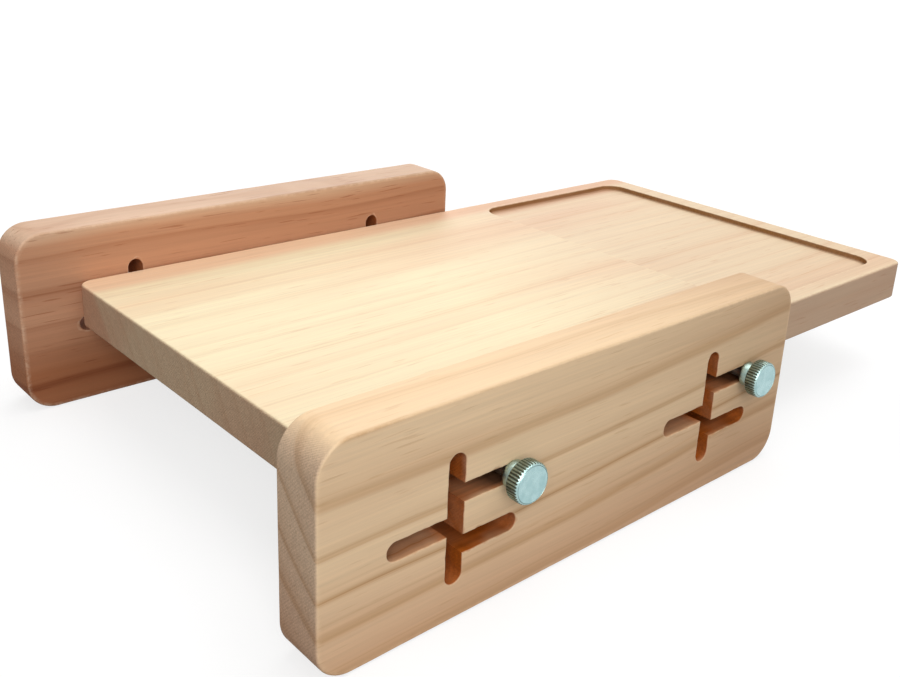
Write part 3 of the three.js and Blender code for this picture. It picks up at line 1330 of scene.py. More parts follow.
@dataclass(frozen=True)
class Board:
    """The pine board, with the crumb tray sunk in its right end.

    Attributes:
        SEED, TRAY_SEED: What picks the wander of its outline and of the tray's.
        wood: Its finish.
        corner: Radius of its corners in plan.
        edge: How its edges are eased.
        tray_length, tray_depth: Size of the tray.
        tray_end_rim, tray_side_rim: What is left of the board round the tray.
        tray_corner: Radius of the tray's corners in plan.
        tray_edge: How the tray's edge is eased.
        tray_floor_round: Rounding where the tray's wall meets its floor.
        tray_floor_shade: How much of the wall's painted shade reaches the floor's edge.
        bore_clearance: Room between a threaded insert and its bore.
        bore_sides: How many sides a bore has.
        corner_steps: How many pieces a corner has.
        spacing: The longest stretch between two points of an outline.
    """

    SEED = 1.0
    TRAY_SEED = 2.0

    wood: Pine
    corner: float = 5.0 * MM
    edge: Eased = Eased(radius=0.9 * MM, wobble=0.08 * MM)
    tray_length: float = 90.0 * MM
    tray_depth: float = 2.4 * MM
    tray_end_rim: float = 10.0 * MM
    tray_side_rim: float = 8.0 * MM
    tray_corner: float = 8.0 * MM
    tray_edge: Eased = Eased(radius=0.5 * MM, wobble=0.1 * MM)
    tray_floor_round: float = 0.8 * MM
    tray_floor_shade: float = 0.4
    bore_clearance: float = 0.3 * MM
    bore_sides: int = 64
    corner_steps: int = 10
    spacing: float = 3.0 * MM

    def outline(self, low: Sequence[float], high: Sequence[float], corner: float) -> np.ndarray:
        """A rectangle in plan with round corners and enough points along its sides."""
        return resample(rounded_rectangle(low, high, corner, self.corner_steps), self.spacing, self.spacing)

    def build(self) -> bpy.types.Object:
        """Builds the board with its tray and the bores for its inserts.

        Returns:
            The board.
        """
        low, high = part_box("board")
        sketch = MeshSketch(square_to(Axis.Z))
        loop = self.edge.settled(self.outline(low[:2], high[:2], self.corner), self.SEED)
        under, top = self.edge.wall(sketch, loop, low.z, high.z)
        sketch.cap([under])
        rim = self.add_tray(sketch, low, high)
        sketch.cap([top, rim])
        board = sketch.build("pine_board", WOOD_SHARP)
        self.bore(board)
        weight_normals(board)
        return board

    def add_tray(self, sketch: MeshSketch, low: Vector, high: Vector) -> Ring:
        """Adds the tray's edge, wall and floor.

        Args:
            sketch: The board's mesh.
            low, high: The board's lowest and highest corner.

        Returns:
            The ring that the board's top face meets.
        """
        right = high.x - self.tray_end_rim
        start = (right - self.tray_length, low.y + self.tray_side_rim)
        outline = self.outline(start, (right, high.y - self.tray_side_rim), self.tray_corner)
        loop = self.tray_edge.settled(outline[::-1], self.TRAY_SEED)
        # The tray's wall takes the cut walls' colour, which on the board is painted shade.
        rings = self.tray_edge.strip(sketch, loop, high.z, down=-1.0, cut=1.0)
        floor = high.z - self.tray_depth
        for inward, above in reversed(fillet(self.tray_floor_round, self.tray_edge.steps)):
            share = above / self.tray_floor_round
            # Painted shade spreads from the wall onto the floor's edge.
            marks = {Mark.CUT: self.tray_floor_shade + (1.0 - self.tray_floor_shade) * share}
            rings.append(sketch.ring(inset(loop, -inward), floor + above, marks))
        rings.append(sketch.ring(inset(loop, -(self.tray_floor_round + self.tray_edge.guard)), floor))
        sketch.stack(rings)
        sketch.cap([rings[-1]])
        return rings[0]

    def bore(self, board: bpy.types.Object) -> None:
        """Cuts the bores that the threaded inserts sit in.

        Args:
            board: The board.
        """
        for side, end in SCREWS:
            low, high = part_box(f"{side.word}_{end.word}_insert")
            length = high.y - low.y + 2.0 * self.bore_clearance
            mouth = high.y if side is Side.REAR else low.y
            bpy.ops.mesh.primitive_cylinder_add(
                vertices=self.bore_sides,
                radius=(high.x - low.x) / 2.0 + self.bore_clearance,
                depth=2.0 * length,
                location=((low.x + high.x) / 2.0, mouth, (low.z + high.z) / 2.0),
                rotation=(QUARTER_TURN, 0.0, 0.0),
            )
            cutter = bpy.context.active_object
            cut = board.modifiers.new("bore", "BOOLEAN")
            cut.object = cutter
            cut.operation = "DIFFERENCE"
            keep_modifiers(board)
            bpy.data.objects.remove(cutter)

    def dress(self) -> None:
        """Builds the board, finishes it and puts it on its body."""
        settle(self.build(), self.wood.material(), "board", "board")


@dataclass(frozen=True)
class SlotGroup:
    """One group of slots through a panel: a vertical one, two arms to the right and one to the left.

    Attributes:
        SCORCH_AT_FACE, LEAST_SCORCH: How dark the wall is at a face, and the least that it ever is.
        SCORCH_PATCHES, PATCH_WAVE: How patchy that darkening is, and how long a patch is.
        ROUGH_WAVE, ROUGH_DEPTH: How long the wall's unevenness is along the slot and through the panel.
        side: Which panel it is in.
        seed: What picks its wander.
        x: Middle of the vertical slot.
        top: Height of the panel's top.
        near, far: Where the panel's two faces lie.
        edge: How its edges are eased.
        width: Width of every slot.
        reach: From the middle of the vertical slot to the end centre of each arm.
        top_end, bottom_end: Heights down from the panel's top to the vertical slot's two end centres.
        upper, middle, lower: Heights down from there to the upper right, the left and the lower right arm.
        end_steps: How many pieces a slot's round end has.
        spacing: The longest stretch between two points of the outline.
        clear: How much of a stretch is left whole at each end.
        wall_steps: How many bands the wall has through the panel.
        wall_rough: How uneven the cutter left that wall.
        scorch_depth: How far in from a face the wall is fully dark, as painted shade deeper in the slot.
        scorch_spread: How far into an arm the vertical slot's darkening reaches.
        left_scorch, upper_scorch: How scorched the left arm and the upper one are, next to the others.
        grime_from, grime_to: From the vertical slot to where the knob's painted shadow in the upper arm
            starts, and
        where it is the whole of it.
    """

    SCORCH_AT_FACE = 0.9
    LEAST_SCORCH = 0.5
    SCORCH_PATCHES = 0.6
    PATCH_WAVE = 8.0 * MM
    ROUGH_WAVE = 3.0 * MM
    ROUGH_DEPTH = 4.0 * MM

    side: Side
    seed: float
    x: float
    top: float
    near: float
    far: float
    edge: Eased = Eased(
        radius=0.3 * MM, steps=4, guard=0.35 * MM, uneven=0.4, chips=2.6, wobble=0.3 * MM, wave=3.2 * MM,
    )
    width: float = 5.2 * MM
    reach: float = 19.0 * MM
    top_end: float = 18.2 * MM
    upper: float = 27.4 * MM
    middle: float = 35.9 * MM
    lower: float = 42.7 * MM
    bottom_end: float = 51.0 * MM
    end_steps: int = 16
    spacing: float = 0.7 * MM
    clear: float = 1.5 * MM
    wall_steps: int = 8
    wall_rough: float = 0.08 * MM
    scorch_depth: float = 6.0 * MM
    scorch_spread: float = 4.0 * MM
    left_scorch: float = 0.55
    upper_scorch: float = 0.85
    grime_from: float = 9.0 * MM
    grime_to: float = 15.5 * MM

    def round_end(self, aside: float, below: float, start: float) -> np.ndarray:
        """Half a turn round the end of a slot.

        Args:
            aside: From the middle of the vertical slot to the end's centre.
            below: From the panel's top down to it.
            start: The angle that it starts at.

        Returns:
            The points.
        """
        centre = (self.x + aside, self.top - below)
        return arc(centre, self.width / 2.0, start, start + HALF_TURN, self.end_steps)

    def arm(self, below: float, way: float) -> list[np.ndarray]:
        """The stretches of the outline round one arm.

        Args:
            below: From the panel's top down to the arm's middle.
            way: 1 for an arm to the right and -1 for one to the left.

        Returns:
            The corner before it, its round end and the corner behind it.
        """
        half = way * self.width / 2.0
        level = self.top - below
        return [
            np.array([[self.x + half, level - half]]),
            self.round_end(way * self.reach, below, -way * QUARTER_TURN),
            np.array([[self.x + half, level + half]]),
        ]

    def outline(self) -> np.ndarray:
        """Draws the whole group as a single outline.

        Returns:
            The points, clockwise.
        """
        stretches = [
            self.round_end(0.0, self.bottom_end, -HALF_TURN),
            *self.arm(self.lower, way=1.0),
            *self.arm(self.upper, way=1.0),
            self.round_end(0.0, self.top_end, 0.0),
            *self.arm(self.middle, way=-1.0),
        ]
        return np.concatenate(stretches)[::-1]

    def is_upper(self, loop: np.ndarray) -> np.ndarray:
        """Whether each point of the outline lies above the left arm's middle."""
        return loop[:, 1] > self.top - self.middle

    def scorch(self, loop: np.ndarray, depth: float) -> np.ndarray:
        """Darkens the wall: partly the cutter's scorching, partly painted shade.

        Args:
            loop: The outline.
            depth: How far in from the nearer face.

        Returns:
            How dark the wall is at each point.
        """
        # Painted shade: darker deeper in the slot and next to the vertical slot, lighter in arms whose walls
        # face the light.
        aside = np.clip((np.abs(loop[:, 0] - self.x) - self.width / 2.0) / self.scorch_spread, 0.0, 1.0)
        right = np.where(self.is_upper(loop), self.upper_scorch, 1.0)
        arm = np.where(loop[:, 0] < self.x, self.left_scorch, right)
        inward = depth / self.scorch_depth
        patchy = self.SCORCH_PATCHES * wander(loop, self.PATCH_WAVE, self.side.value + inward)
        whole = np.clip(self.SCORCH_AT_FACE + inward + patchy, self.LEAST_SCORCH, 1.0)
        return whole * (1.0 + (arm - 1.0) * aside)

    def grime(self, loop: np.ndarray) -> np.ndarray:
        """The knob's painted shadow on the upper arm's wall at each point of the outline."""
        along = np.clip((loop[:, 0] - self.x - self.grime_from) / (self.grime_to - self.grime_from), 0.0, 1.0)
        return np.where(self.is_upper(loop), along, 0.0)

    def bands(self, sketch: MeshSketch, loop: np.ndarray) -> list[Ring]:
        """Adds the rings of the wall between its two eased edges.

        Args:
            sketch: The panel's mesh.
            loop: The outline.

        Returns:
            The rings, from the near face to the far one.
        """
        rings = []
        thickness = self.far - self.near
        for step in range(1, self.wall_steps):
            depth = thickness * step / self.wall_steps
            rough = swell(loop, self.ROUGH_WAVE, depth / self.ROUGH_DEPTH)
            # Painted shade on the wall, and the knob's painted shadow in the upper arm.
            marks = {Mark.CUT: self.scorch(loop, min(depth, thickness - depth)), Mark.GRIME: self.grime(loop)}
            rings.append(sketch.ring(inset(loop, self.wall_rough * rough), self.near + depth, marks))
        return rings

    def add(self, sketch: MeshSketch) -> tuple[Ring, Ring]:
        """Adds the group's edges and walls.

        Args:
            sketch: The panel's mesh.

        Returns:
            The rings that the near and the far face meet.
        """
        loop = self.edge.settled(resample(self.outline(), self.spacing, self.clear), self.seed)
        cut = self.scorch(loop, 0.0)
        return self.edge.wall(sketch, loop, self.near, self.far, cut, lambda: self.bands(sketch, loop))


@dataclass(frozen=True)
class SidePanel:
    """One upright panel with its two groups of slots.

    Attributes:
        SEED: What picks the wander of its outline, times its side.
        side: Which panel it is.
        wood: Its finish.
        corner: Radius of its corners.
        edge: How its outline's edges are eased.
        slot_from_end: From each end of the panel to the middle of its vertical slot.
        corner_steps: How many pieces a corner has.
        spacing: The longest stretch between two points of the outline.
    """

    SEED = 9.0

    side: Side
    wood: Pine
    corner: float = 10.0 * MM
    edge: Eased = Eased(radius=0.8 * MM, wobble=0.08 * MM)
    slot_from_end: float = 42.0 * MM
    corner_steps: int = 14
    spacing: float = 3.0 * MM

    @property
    def node(self) -> str:
        """The name of the panel's node and body."""
        return f"{self.side.word}_panel"

    def build(self) -> bpy.types.Object:
        """Builds the panel with its slots.

        Returns:
            The panel.
        """
        low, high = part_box(self.node)
        seed = self.side.value * self.SEED
        sketch = MeshSketch(square_to(Axis.Y))
        outline = rounded_rectangle((low.x, low.z), (high.x, high.z), self.corner, self.corner_steps)
        loop = self.edge.settled(resample(outline, self.spacing, self.spacing), seed)
        faces = [self.edge.wall(sketch, loop, low.y, high.y)]
        for count, x in enumerate((low.x + self.slot_from_end, high.x - self.slot_from_end), start=1):
            faces.append(SlotGroup(self.side, seed + count, x, high.z, low.y, high.y).add(sketch))
        for rings in zip(*faces):
            sketch.cap(rings)
        panel = sketch.build(f"pine_{self.node}", WOOD_SHARP)
        weight_normals(panel)
        return panel

    def dress(self) -> None:
        """Builds the panel, finishes it and puts it on its body."""
        settle(self.build(), self.wood.material(), self.node, self.node)


@dataclass(frozen=True)
class Station:
    """One ring of a turned piece.

    Attributes:
        radius: Its radius.
        height: Its place along the axis.
        knurled: How fully the knurling is cut there, 0 to 1.
        grime: How much painted shade it has there, 0 to 1.
    """

    radius: float
    height: float
    knurled: float = 0.0
    grime: float = 0.0


@dataclass(frozen=True)
class Knurl:
    """Straight knurling round a turned head.

    Attributes:
        FLANK_STEEP, FLANK_CUT: How steep the teeth's flanks are, and how much of their crests is flat.
        teeth: How many teeth it has.
        depth: How deep they are cut.
        radius: Radius of the bar that it was cut in.
    """

    FLANK_STEEP = 1.25
    FLANK_CUT = 0.12

    teeth: int = 40
    depth: float = 0.26 * MM
    radius: float = 6.0 * MM

    def valley(self, turn: np.ndarray) -> np.ndarray:
        """How far down a tooth's flank each angle is, 0 at a crest to 1 in a valley."""
        return steepened(zigzag(turn * self.teeth / FULL_TURN), self.FLANK_STEEP, self.FLANK_CUT)

    def limit(self, turn: np.ndarray, knurled: float) -> np.ndarray:
        """The largest radius that the knurling leaves at each angle."""
        return self.radius - self.depth * knurled * self.valley(turn)

    def turned(self, name: str, stations: Sequence[Station], sides: int, placing: Matrix) -> bpy.types.Object:
        """Turns a knurled piece between two points on its axis.

        Args:
            name: The piece's name.
            stations: Its rings from one end to the other; the first and last are closed in their middle.
            sides: Points round each ring.
            placing: Puts the turned shape in its place.

        Returns:
            The piece.
        """
        turn, around = circle(sides)
        sketch = MeshSketch(round_axis(placing))
        rings = []
        for station in stations:
            radius = np.full(sides, station.radius)
            # Smooth rings carry painted shade; knurled ones carry the soiling in their valleys.
            valley = np.full(sides, station.grime)
            if station.knurled > 0.0:
                radius = np.minimum(radius, self.limit(turn, station.knurled))
                valley = self.valley(turn) * station.knurled
            marks = {Mark.TURNED: station.radius + station.height, Mark.VALLEY: valley}
            rings.append(sketch.ring(around * radius[:, None], station.height, marks))
        sketch.close(rings, stations[0].height, stations[-1].height)
        piece = sketch.build(name, METAL_SHARP)
        weight_normals(piece)
        return piece


@dataclass(frozen=True)
class Fastening:
    """What goes through one slot group on its own axis, pointing out of the board.

    Attributes:
        MATRIX_SIZE: How many rows a placing has.
        side, end: Where it is.
    """

    MATRIX_SIZE = 4

    side: Side
    end: End

    @property
    def name(self) -> str:
        """Its name as the nodes spell it."""
        return f"{self.side.word}_{self.end.word}"

    def reach(self, kind: str) -> tuple[float, float]:
        """Measures a node along the axis.

        Args:
            kind: The node's kind, the last word of its name.

        Returns:
            How far out it starts and ends.
        """
        low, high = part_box(f"{self.name}_{kind}")
        near, far = sorted((low.y * self.side.value, high.y * self.side.value))
        return near, far

    def placing(self, kind: str, seat: float, spin: float = 0.0) -> Matrix:
        """Puts a shape that stands on Z = 0 and points up on the axis, pointing out.

        Args:
            kind: The kind of the node whose middle the axis goes through.
            seat: How far out the shape's foot lies.
            spin: How far it is turned.

        Returns:
            The placing.
        """
        low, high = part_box(f"{self.name}_{kind}")
        middle = (low + high) / 2.0
        foot = Matrix.Translation((middle.x, self.side.value * seat, middle.z))
        out = Matrix.Rotation(-self.side.value * QUARTER_TURN, self.MATRIX_SIZE, "X")
        return foot @ out @ Matrix.Rotation(spin, self.MATRIX_SIZE, "Z")


@dataclass(frozen=True)
class Thumbscrew(Fastening):
    """One thumbscrew: a knurled knob pressed on a threaded stud.

    Attributes:
        BORE_END: How wide the knob's bore is where it starts to close, as a share of its radius.
        LIP_MIDDLE, CHAMFER_MIDDLE: How far in and up the middle ring of a rounded lip and of the head's
            chamfer lies, as a share of its width.
        STEP_MIDDLE: The same, in and up, for the step between knurling and rim.
        RIM_MIDDLE: The same, in and down, for the smooth rim.
        DISH: The face's rings, by their share of the head's radius and how far below the rim they lie.
        POINT: Radius of the stud's point, as a share of the stud's.
        THREAD_STEEP, THREAD_CUT: How steep the thread's flanks are, and how much of its root is flat.
        THREAD_GRIME: How soiled the thread's root is.
        plated: Finish of the knob.
        thread: Finish of the stud.
        knurl: The knob's knurling.
        bore_radius, bore_depth: The knob's bore.
        lip: Width of the collar's lips.
        collar_radius, collar_length: The plain collar under the head.
        neck_length, neck_depth, neck_curve, neck_steps: How the collar narrows towards the head.
        neck_grime: How much painted shade it has there, next to the head.
        chamfer: The chamfer of the head's foot.
        rim: The smooth rim between the knurling and the face.
        rim_sunk: How much deeper than the knurling the rim lies.
        groove, groove_grime: Depth and half the width of the fine groove round the face, and its painted
            shade.
        stud_radius, root_radius, pitch: The stud's thread.
        tip: Length of the stud's point.
        threaded: Length of its thread.
        run_out, shank: From the thread's end to the end of its run-out, and to where the plain shank starts.
        end_chamfer: The chamfer of the stud's outer end.
        spin: How far the knob is turned at rest.
        sides, stud_sides: Points round the knob and the stud.
        rows_to_a_turn: Rings to each turn of the thread.
    """

    BORE_END = 0.5
    LIP_MIDDLE = 0.3
    CHAMFER_MIDDLE = 0.45
    STEP_MIDDLE = (0.5, 0.4)
    RIM_MIDDLE = (0.8, 0.12)
    DISH = ((0.6, 0.03 * MM), (0.2, 0.05 * MM))
    POINT = 0.62
    THREAD_STEEP = 1.3
    THREAD_CUT = 0.1
    THREAD_GRIME = 0.7

    plated: TurnedMetal
    thread: TurnedMetal
    knurl: Knurl = Knurl()
    bore_radius: float = 2.3 * MM
    bore_depth: float = 6.0 * MM
    lip: float = 0.4 * MM
    collar_radius: float = 4.0 * MM
    collar_length: float = 3.5 * MM
    neck_length: float = 3.0 * MM
    neck_depth: float = 1.0 * MM
    neck_curve: float = 1.35
    neck_steps: int = 8
    neck_grime: float = 0.55
    chamfer: float = 0.4 * MM
    rim: float = 0.56 * MM
    rim_sunk: float = 0.03 * MM
    groove: float = 0.08 * MM
    groove_grime: float = 0.6
    stud_radius: float = 2.0 * MM
    root_radius: float = 1.6 * MM
    pitch: float = 0.7 * MM
    tip: float = 0.8 * MM
    threaded: float = 13.0 * MM
    run_out: float = 0.3 * MM
    shank: float = 0.7 * MM
    end_chamfer: float = 0.3 * MM
    spin: float = 0.0
    sides: int = 320
    stud_sides: int = 36
    rows_to_a_turn: int = 8

    def build_knob(self) -> bpy.types.Object:
        """Builds the knurled knob.

        Returns:
            The knob.
        """
        seat, top = self.reach("knob")
        height = top - seat
        head, under, collar = self.knurl.radius, self.collar_length, self.collar_radius
        lip_middle = self.LIP_MIDDLE * self.lip
        chamfer_middle = self.CHAMFER_MIDDLE * self.chamfer
        stations = [
            Station(self.bore_radius * self.BORE_END, self.bore_depth),
            Station(self.bore_radius, self.bore_depth),
            Station(self.bore_radius, self.lip),
            Station(self.bore_radius + self.lip, 0.0),
            Station(collar - self.lip, 0.0),
            Station(collar - lip_middle, lip_middle),
            Station(collar, self.lip),
            *self.neck(),
            Station(head - self.chamfer, under, knurled=1.0),
            Station(head - chamfer_middle, under + chamfer_middle, knurled=1.0),
            Station(head, under + self.chamfer, knurled=1.0),
            Station(head, (under + height) / 2.0, knurled=1.0),
            *self.face(height),
        ]
        placing = self.placing("stud", seat, self.spin)
        return self.knurl.turned(f"{self.name}_knurled_knob", stations, self.sides, placing)

    def neck(self) -> list[Station]:
        """Narrows the collar towards the head, where painted shade darkens it.

        Returns:
            The rings.
        """
        return [
            Station(
                self.collar_radius - self.neck_depth * share ** self.neck_curve,
                self.collar_length - self.neck_length * (1.0 - share),
                # Painted shade, growing towards the head.
                grime=self.neck_grime * share,
            )
            for share in (step / self.neck_steps for step in range(self.neck_steps + 1))
        ]

    def face(self, height: float) -> list[Station]:
        """The head's rings from the end of its knurling over the smooth rim to its middle.

        Args:
            height: Where the face lies.

        Returns:
            The rings.
        """
        head = self.knurl.radius
        smooth = self.knurl.depth + self.rim_sunk
        inner, foot = head - self.rim, height - self.rim
        step_in, step_up = (share * smooth for share in self.STEP_MIDDLE)
        rim_in, rim_down = (share * self.rim for share in self.RIM_MIDDLE)
        # Painted shade in the groove round the face.
        groove, grime = self.groove, self.groove_grime
        return [
            Station(head, foot, knurled=1.0),
            Station(head - step_in, foot + step_up, knurled=1.0),
            Station(head - smooth, foot + smooth),
            Station(head - rim_in, height - rim_down),
            Station(inner, height),
            Station(inner - groove, height - groove, grime=grime),
            Station(inner - 2.0 * groove, height - groove, grime=grime),
            Station(inner - 3.0 * groove, height),
            *(Station(head * share, height - sunk) for share, sunk in self.DISH),
        ]

    def thread_ring(self, sketch: MeshSketch, height: float) -> Ring:
        """Adds one ring of the thread.

        Args:
            sketch: The stud's mesh.
            height: The ring's height above the stud's point.

        Returns:
            The ring.
        """
        turn, around = circle(self.stud_sides)
        crest = 1.0 - zigzag(height / self.pitch - turn / FULL_TURN)
        fade = min(1.0, (height - self.tip) / self.pitch, (self.tip + self.threaded - height) / self.pitch)
        depth = self.stud_radius - self.root_radius
        proud = steepened(crest, self.THREAD_STEEP, self.THREAD_CUT) * depth * fade
        marks = {Mark.TURNED: height, Mark.VALLEY: self.THREAD_GRIME * (1.0 - crest) * fade}
        return sketch.ring(around * (self.root_radius + proud)[:, None], height, marks)

    def build_stud(self) -> bpy.types.Object:
        """Builds the stud with its screw thread.

        Returns:
            The stud.
        """
        low, high = self.reach("stud")
        length = high - low
        sketch = MeshSketch(round_axis(self.placing("stud", low, self.spin)))
        around = circle(self.stud_sides)[1]
        rows = math.ceil(self.threaded / self.pitch * self.rows_to_a_turn)
        heights = [self.tip + self.threaded * row / rows for row in range(rows + 1)]
        rings = [sketch.ring(around * self.stud_radius * self.POINT, 0.0)]
        rings += [self.thread_ring(sketch, height) for height in heights]
        for radius, height in (
            (self.root_radius, heights[-1] + self.run_out),
            (self.stud_radius, heights[-1] + self.shank),
            (self.stud_radius, length - self.end_chamfer),
            (self.stud_radius - self.end_chamfer, length),
        ):
            rings.append(sketch.ring(around * radius, height, {Mark.TURNED: height}))
        sketch.close(rings, 0.0, length)
        return sketch.build(f"{self.name}_threaded_stud", THREAD_SHARP)

    def dress(self) -> None:
        """Builds the thumbscrew's two pieces, finishes them and puts them on their bodies."""
        for piece, kind, metal in (
            (self.build_knob(), "knob", self.plated),
            (self.build_stud(), "stud", self.thread),
        ):
            node = f"{self.name}_{kind}"
            settle(piece, metal.material(), node, node)


@dataclass(frozen=True)
class ThreadedInsert(Fastening):
    """One barbed brass insert in the board's edge.

    Attributes:
        brass: Its finish.
        bore_radius: Radius of its threaded bore.
        barb_depth, barb_back: How far its barbs stand out, and how long their steep backs are.
        barbs: How many barbs it has.
        lip: Width of the lips of its bore and of its flange.
        sides: Points round it.
    """

    brass: TurnedMetal
    bore_radius: float = 2.3 * MM
    barb_depth: float = 0.5 * MM
    barb_back: float = 0.15 * MM
    barbs: int = 5
    lip: float = 0.5 * MM
    sides: int = 64

    def profile(self, outer: float, length: float) -> list[tuple[float, float]]:
        """The insert's rings.

        Args:
            outer: Its largest radius.
            length: Its length.

        Returns:
            The radius and height of each.
        """
        root, mouth = outer - self.barb_depth, self.bore_radius + self.lip
        rows = [(self.bore_radius, self.lip), (mouth, 0.0), (root, 0.0)]
        step = length / (self.barbs + 1)
        for barb in range(1, self.barbs + 1):
            rows += [(outer, barb * step), (root, barb * step + self.barb_back)]
        edge = length - self.lip
        return rows + [(outer, edge), (outer, length), (mouth, length), (self.bore_radius, edge)]

    def build(self) -> bpy.types.Object:
        """Builds the insert.

        Returns:
            The insert.
        """
        low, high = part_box(f"{self.name}_insert")
        near, far = self.reach("insert")
        sketch = MeshSketch(round_axis(self.placing("insert", near)))
        around = circle(self.sides)[1]
        rings = [
            sketch.ring(around * radius, height, {Mark.TURNED: radius})
            for radius, height in self.profile((high.x - low.x) / 2.0, far - near)
        ]
        sketch.stack(rings)
        sketch.bridge(rings[-1], rings[0])
        return sketch.build(f"{self.name}_threaded_insert", METAL_SHARP)

    def dress(self) -> None:
        """Builds the insert, finishes it and puts it on the board."""
        settle(self.build(), self.brass.material(), "board", f"{self.name}_insert")


@dataclass(frozen=True)
class Lamp:
    """One soft square lamp.

    Attributes:
        name: Its name.
        place: Where it is.
        aim: What it points at.
        size: Its side.
        power: Its power in watts.
        colour: Its colour.
    """

    name: str
    place: Place
    aim: Place
    size: float
    power: float
    colour: Colour = WHITE

    def hang(self) -> None:
        """Puts the lamp in the scene."""
        light = bpy.data.lights.new(self.name, "AREA")
        light.size = self.size
        light.energy = self.power
        light.color = self.colour
        lamp = into_scene(self.name, light)
        lamp.location = self.place
        lamp.rotation_euler = (Vector(self.aim) - Vector(self.place)).to_track_quat("-Z", "Y").to_euler()


@dataclass(frozen=True)
class Viewpoint:
    """The photograph's viewpoint, solved from the object's edges in its 900 by 677 frame.

    Attributes:
        image_width, image_height: The frame, in pixels.
        focal, centre_x, centre_y: The lens, in pixels.
        azimuth, elevation, roll: Where it looks, in radians.
        place: Where it is.
        nearest, farthest: The nearest and the farthest that it shows.
        sensor: Width of the camera's sensor in millimetres.
    """

    image_width: float = 900.0
    image_height: float = 677.0
    focal: float = 1049.3
    centre_x: float = 493.4
    centre_y: float = 289.1
    azimuth: float = -0.7644
    elevation: float = 0.3502
    roll: float = 0.057
    place: Place = (-0.26486, -0.26799, 0.17712)
    nearest: float = 10.0 * MM
    farthest: float = 20.0
    sensor: float = 36.0

    def turn(self) -> Matrix:
        """Turns the camera.

        Returns:
            Which way it looks and which way is up.
        """
        across, up = math.cos(self.azimuth), math.sin(self.azimuth)
        level = math.cos(self.elevation)
        ahead = Vector((-up * level, across * level, -math.sin(self.elevation)))
        right = Vector((across, up, 0.0))
        top = right.cross(ahead)
        lean_right = math.cos(self.roll) * right + math.sin(self.roll) * top
        lean_up = math.cos(self.roll) * top - math.sin(self.roll) * right
        return Matrix((lean_right, lean_up, -ahead)).transposed().to_4x4()

    def set_up(self) -> None:
        """Makes the scene's camera."""
        data = bpy.data.cameras.new("camera")
        data.sensor_width = self.sensor
        data.lens = self.focal / self.image_width * self.sensor
        data.shift_x = (self.image_width / 2.0 - self.centre_x) / self.image_width
        data.shift_y = (self.centre_y - self.image_height / 2.0) / self.image_width
        data.clip_start, data.clip_end = self.nearest, self.farthest
        camera = into_scene("camera", data)
        camera.matrix_world = Matrix.Translation(self.place) @ self.turn()
        bpy.context.scene.camera = camera


@dataclass(frozen=True)
class Studio:
    """A plain pale floor under soft lamps.

    Attributes:
        floor: The floor's finish.
        lamps: The lamps.
        sky: How strongly the surroundings light the object.
        floor_size: The floor's side.
        floor_drop: How far it lies below the panels' feet.
        viewpoint: The camera's viewpoint.
    """

    floor: PaleFloor
    lamps: Sequence[Lamp]
    sky: float
    floor_size: float = 12.0
    floor_drop: float = 0.2 * MM
    viewpoint: Viewpoint = Viewpoint()

    def set_up(self) -> None:
        """Makes the floor, the lamps, the surroundings and the camera."""
        self.lay_floor()
        for lamp in self.lamps:
            lamp.hang()
        self.surround()
        self.viewpoint.set_up()
        bpy.context.scene.view_settings.view_transform = "Standard"

    def lay_floor(self) -> None:
        """Makes the floor."""
        mesh = bpy.data.meshes.new("floor")
        half = self.floor_size / 2.0
        corners = [(-half, -half), (half, -half), (half, half), (-half, half)]
        mesh.from_pydata([(x, y, -self.floor_drop) for x, y in corners], [], [range(len(corners))])
        mesh.materials.append(self.floor.material())
        into_scene("floor", mesh)

    def surround(self) -> None:
        """Makes a white world that lights the object softly."""
        world = bpy.data.worlds.new("surroundings")
        world.use_nodes = True
        bpy.context.scene.world = world
        sheet = NodeSheet(world.node_tree)
        background = sheet.tree.nodes["Background"]
        sheet.feed(background.inputs["Color"], WHITE)
        sheet.feed(background.inputs["Strength"], sheet.span(sheet.seen_rays(), Span(to_low=self.sky)))


FRONT_PINE = Pine(
    name="front_panel_pine",
    early=shade(240, 209, 170),
    late=shade(182, 132, 80),
    blush=shade(216, 170, 134),
    heart=(-0.15, 0.1),
    ring=9.5 * MM,
    line=1.5 * MM,
    lean=0.03,
    wave=8.0 * MM,
    line_strength=1.0,
    glow_strength=0.62,
    warm=(0.112, 0.08),
    blush_strength=0.85,
    offset=(0.0, 0.0, 0.0),
    # Painted shade, darker towards the right end.
    fades=(Fade(shade(230, 228, 226), start=-0.1, whole=0.03),),
    top_calm=0.6,
    # Painted shade on the top.
    top_tint=shade(251, 250, 248),
    fleck_strength=0.2,
    # End grain's own darker tone, with painted shade.
    end_tint=shade(224, 222, 230),
    # Slot walls: partly scorching, partly painted shade.
    toasted_and_shaded=shade(166, 86, 28),
)
REAR_PINE = Pine(
    name="rear_panel_pine",
    early=shade(230, 200, 172),
    late=shade(152, 92, 58),
    blush=shade(203, 155, 124),
    heart=(0.085, -0.2),
    ring=11.0 * MM,
    line=2.1 * MM,
    lean=-0.015,
    wave=10.0 * MM,
    line_strength=0.95,
    glow_strength=0.7,
    warm=(0.26, 0.264),
    blush_strength=1.0,
    offset=(1.7, 0.4, 0.9),
    # Painted shadow low down under the board, and painted shade towards the right end.
    fades=(
        Fade(shade(208, 180, 158), start=0.04, whole=0.02, along=Axis.Z, sway=12.0 * MM),
        Fade(shade(236, 232, 228), start=-0.11, whole=0.03),
    ),
    end_tint=WHITE,
    # Painted shade on the faces towards Y.
    side_tint=shade(245, 238, 232),
)
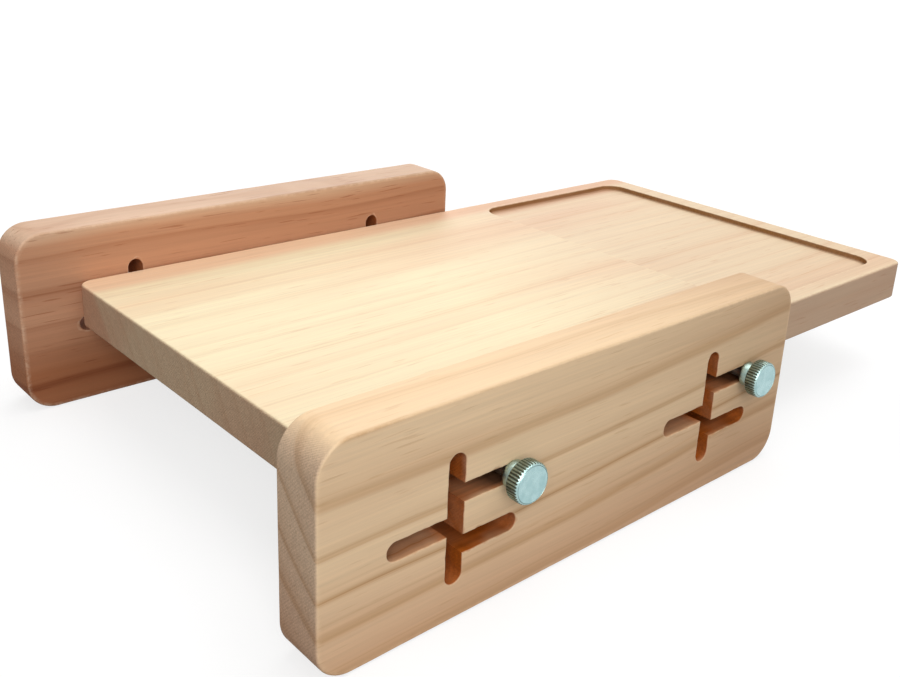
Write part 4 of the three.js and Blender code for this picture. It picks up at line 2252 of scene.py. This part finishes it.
BOARD_PINE = Pine(
    name="board_pine",
    early=shade(239, 222, 185),
    late=shade(206, 158, 116),
    blush=shade(226, 176, 142),
    heart=(0.21, -0.1),
    ring=8.5 * MM,
    line=1.4 * MM,
    lean=0.01,
    wave=4.0 * MM,
    line_strength=0.4,
    glow_strength=0.22,
    warm=(0.2, 0.204),
    blush_strength=0.62,
    offset=(3.1, 2.2, 0.3),
    # Painted shade, darker towards the tray end.
    fades=(Fade(shade(236, 227, 229), start=-0.03, whole=0.07),),
    fleck_strength=0.3,
    # End grain's own darker tone, with painted shade.
    end_tint=shade(207, 192, 190),
    # The sawn edges' own tone, with painted shade.
    side_tint=shade(228, 217, 217),
    # Painted shade on the tray's wall.
    toasted_and_shaded=shade(142, 102, 64),
)
# The knob's darkest colour is soiling in its knurling and painted shade on its neck and round its face.
ZINC = TurnedMetal(
    name="zinc_plate",
    bright=shade(176, 207, 208),
    cloudy=shade(157, 191, 193),
    flank=shade(162, 182, 172),
    grime=shade(66, 74, 60),
    roughness=0.27,
)
THREAD_STEEL = TurnedMetal(
    name="thread_steel",
    bright=shade(190, 200, 200),
    cloudy=shade(165, 175, 172),
    flank=shade(176, 178, 166),
    grime=shade(80, 80, 70),
    roughness=0.34,
)
BRASS = TurnedMetal(
    name="insert_brass",
    bright=shade(214, 184, 106),
    cloudy=shade(190, 156, 84),
    flank=shade(206, 172, 96),
    grime=shade(110, 86, 44),
    roughness=0.32,
)
FLOOR = PaleFloor(name="pale_floor", pale=(0.28, 0.28, 0.28), glow=0.74)
LAMPS = (
    Lamp("top_lamp", (0.15, -0.15, 1.3), aim=(0.0, 0.0, 0.0), size=1.1, power=10.6),
    Lamp("front_lamp", (-0.95, -1.2, 0.85), aim=(0.0, 0.0, 0.03), size=1.0, power=16.0),
    Lamp("rear_lamp", (0.9, 1.2, 0.8), aim=(0.0, 0.0, 0.03), size=1.0, power=12.0),
)
SKY = 0.24

# How much further each knob is turned at rest than the one before, in radians.
SPIN_STEP = 0.37


def main() -> None:
    """Builds and dresses the slicer guide, then its plain studio."""
    logging.basicConfig(level=logging.INFO, format="%(name)s: %(message)s")
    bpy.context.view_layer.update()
    Board(BOARD_PINE).dress()
    SidePanel(Side.FRONT, FRONT_PINE).dress()
    SidePanel(Side.REAR, REAR_PINE).dress()
    for count, (side, end) in enumerate(SCREWS):
        Thumbscrew(side, end, ZINC, THREAD_STEEL, spin=SPIN_STEP * count).dress()
        ThreadedInsert(side, end, BRASS).dress()
    Studio(FLOOR, LAMPS, SKY).set_up()


if __name__ == "__main__":
    main()
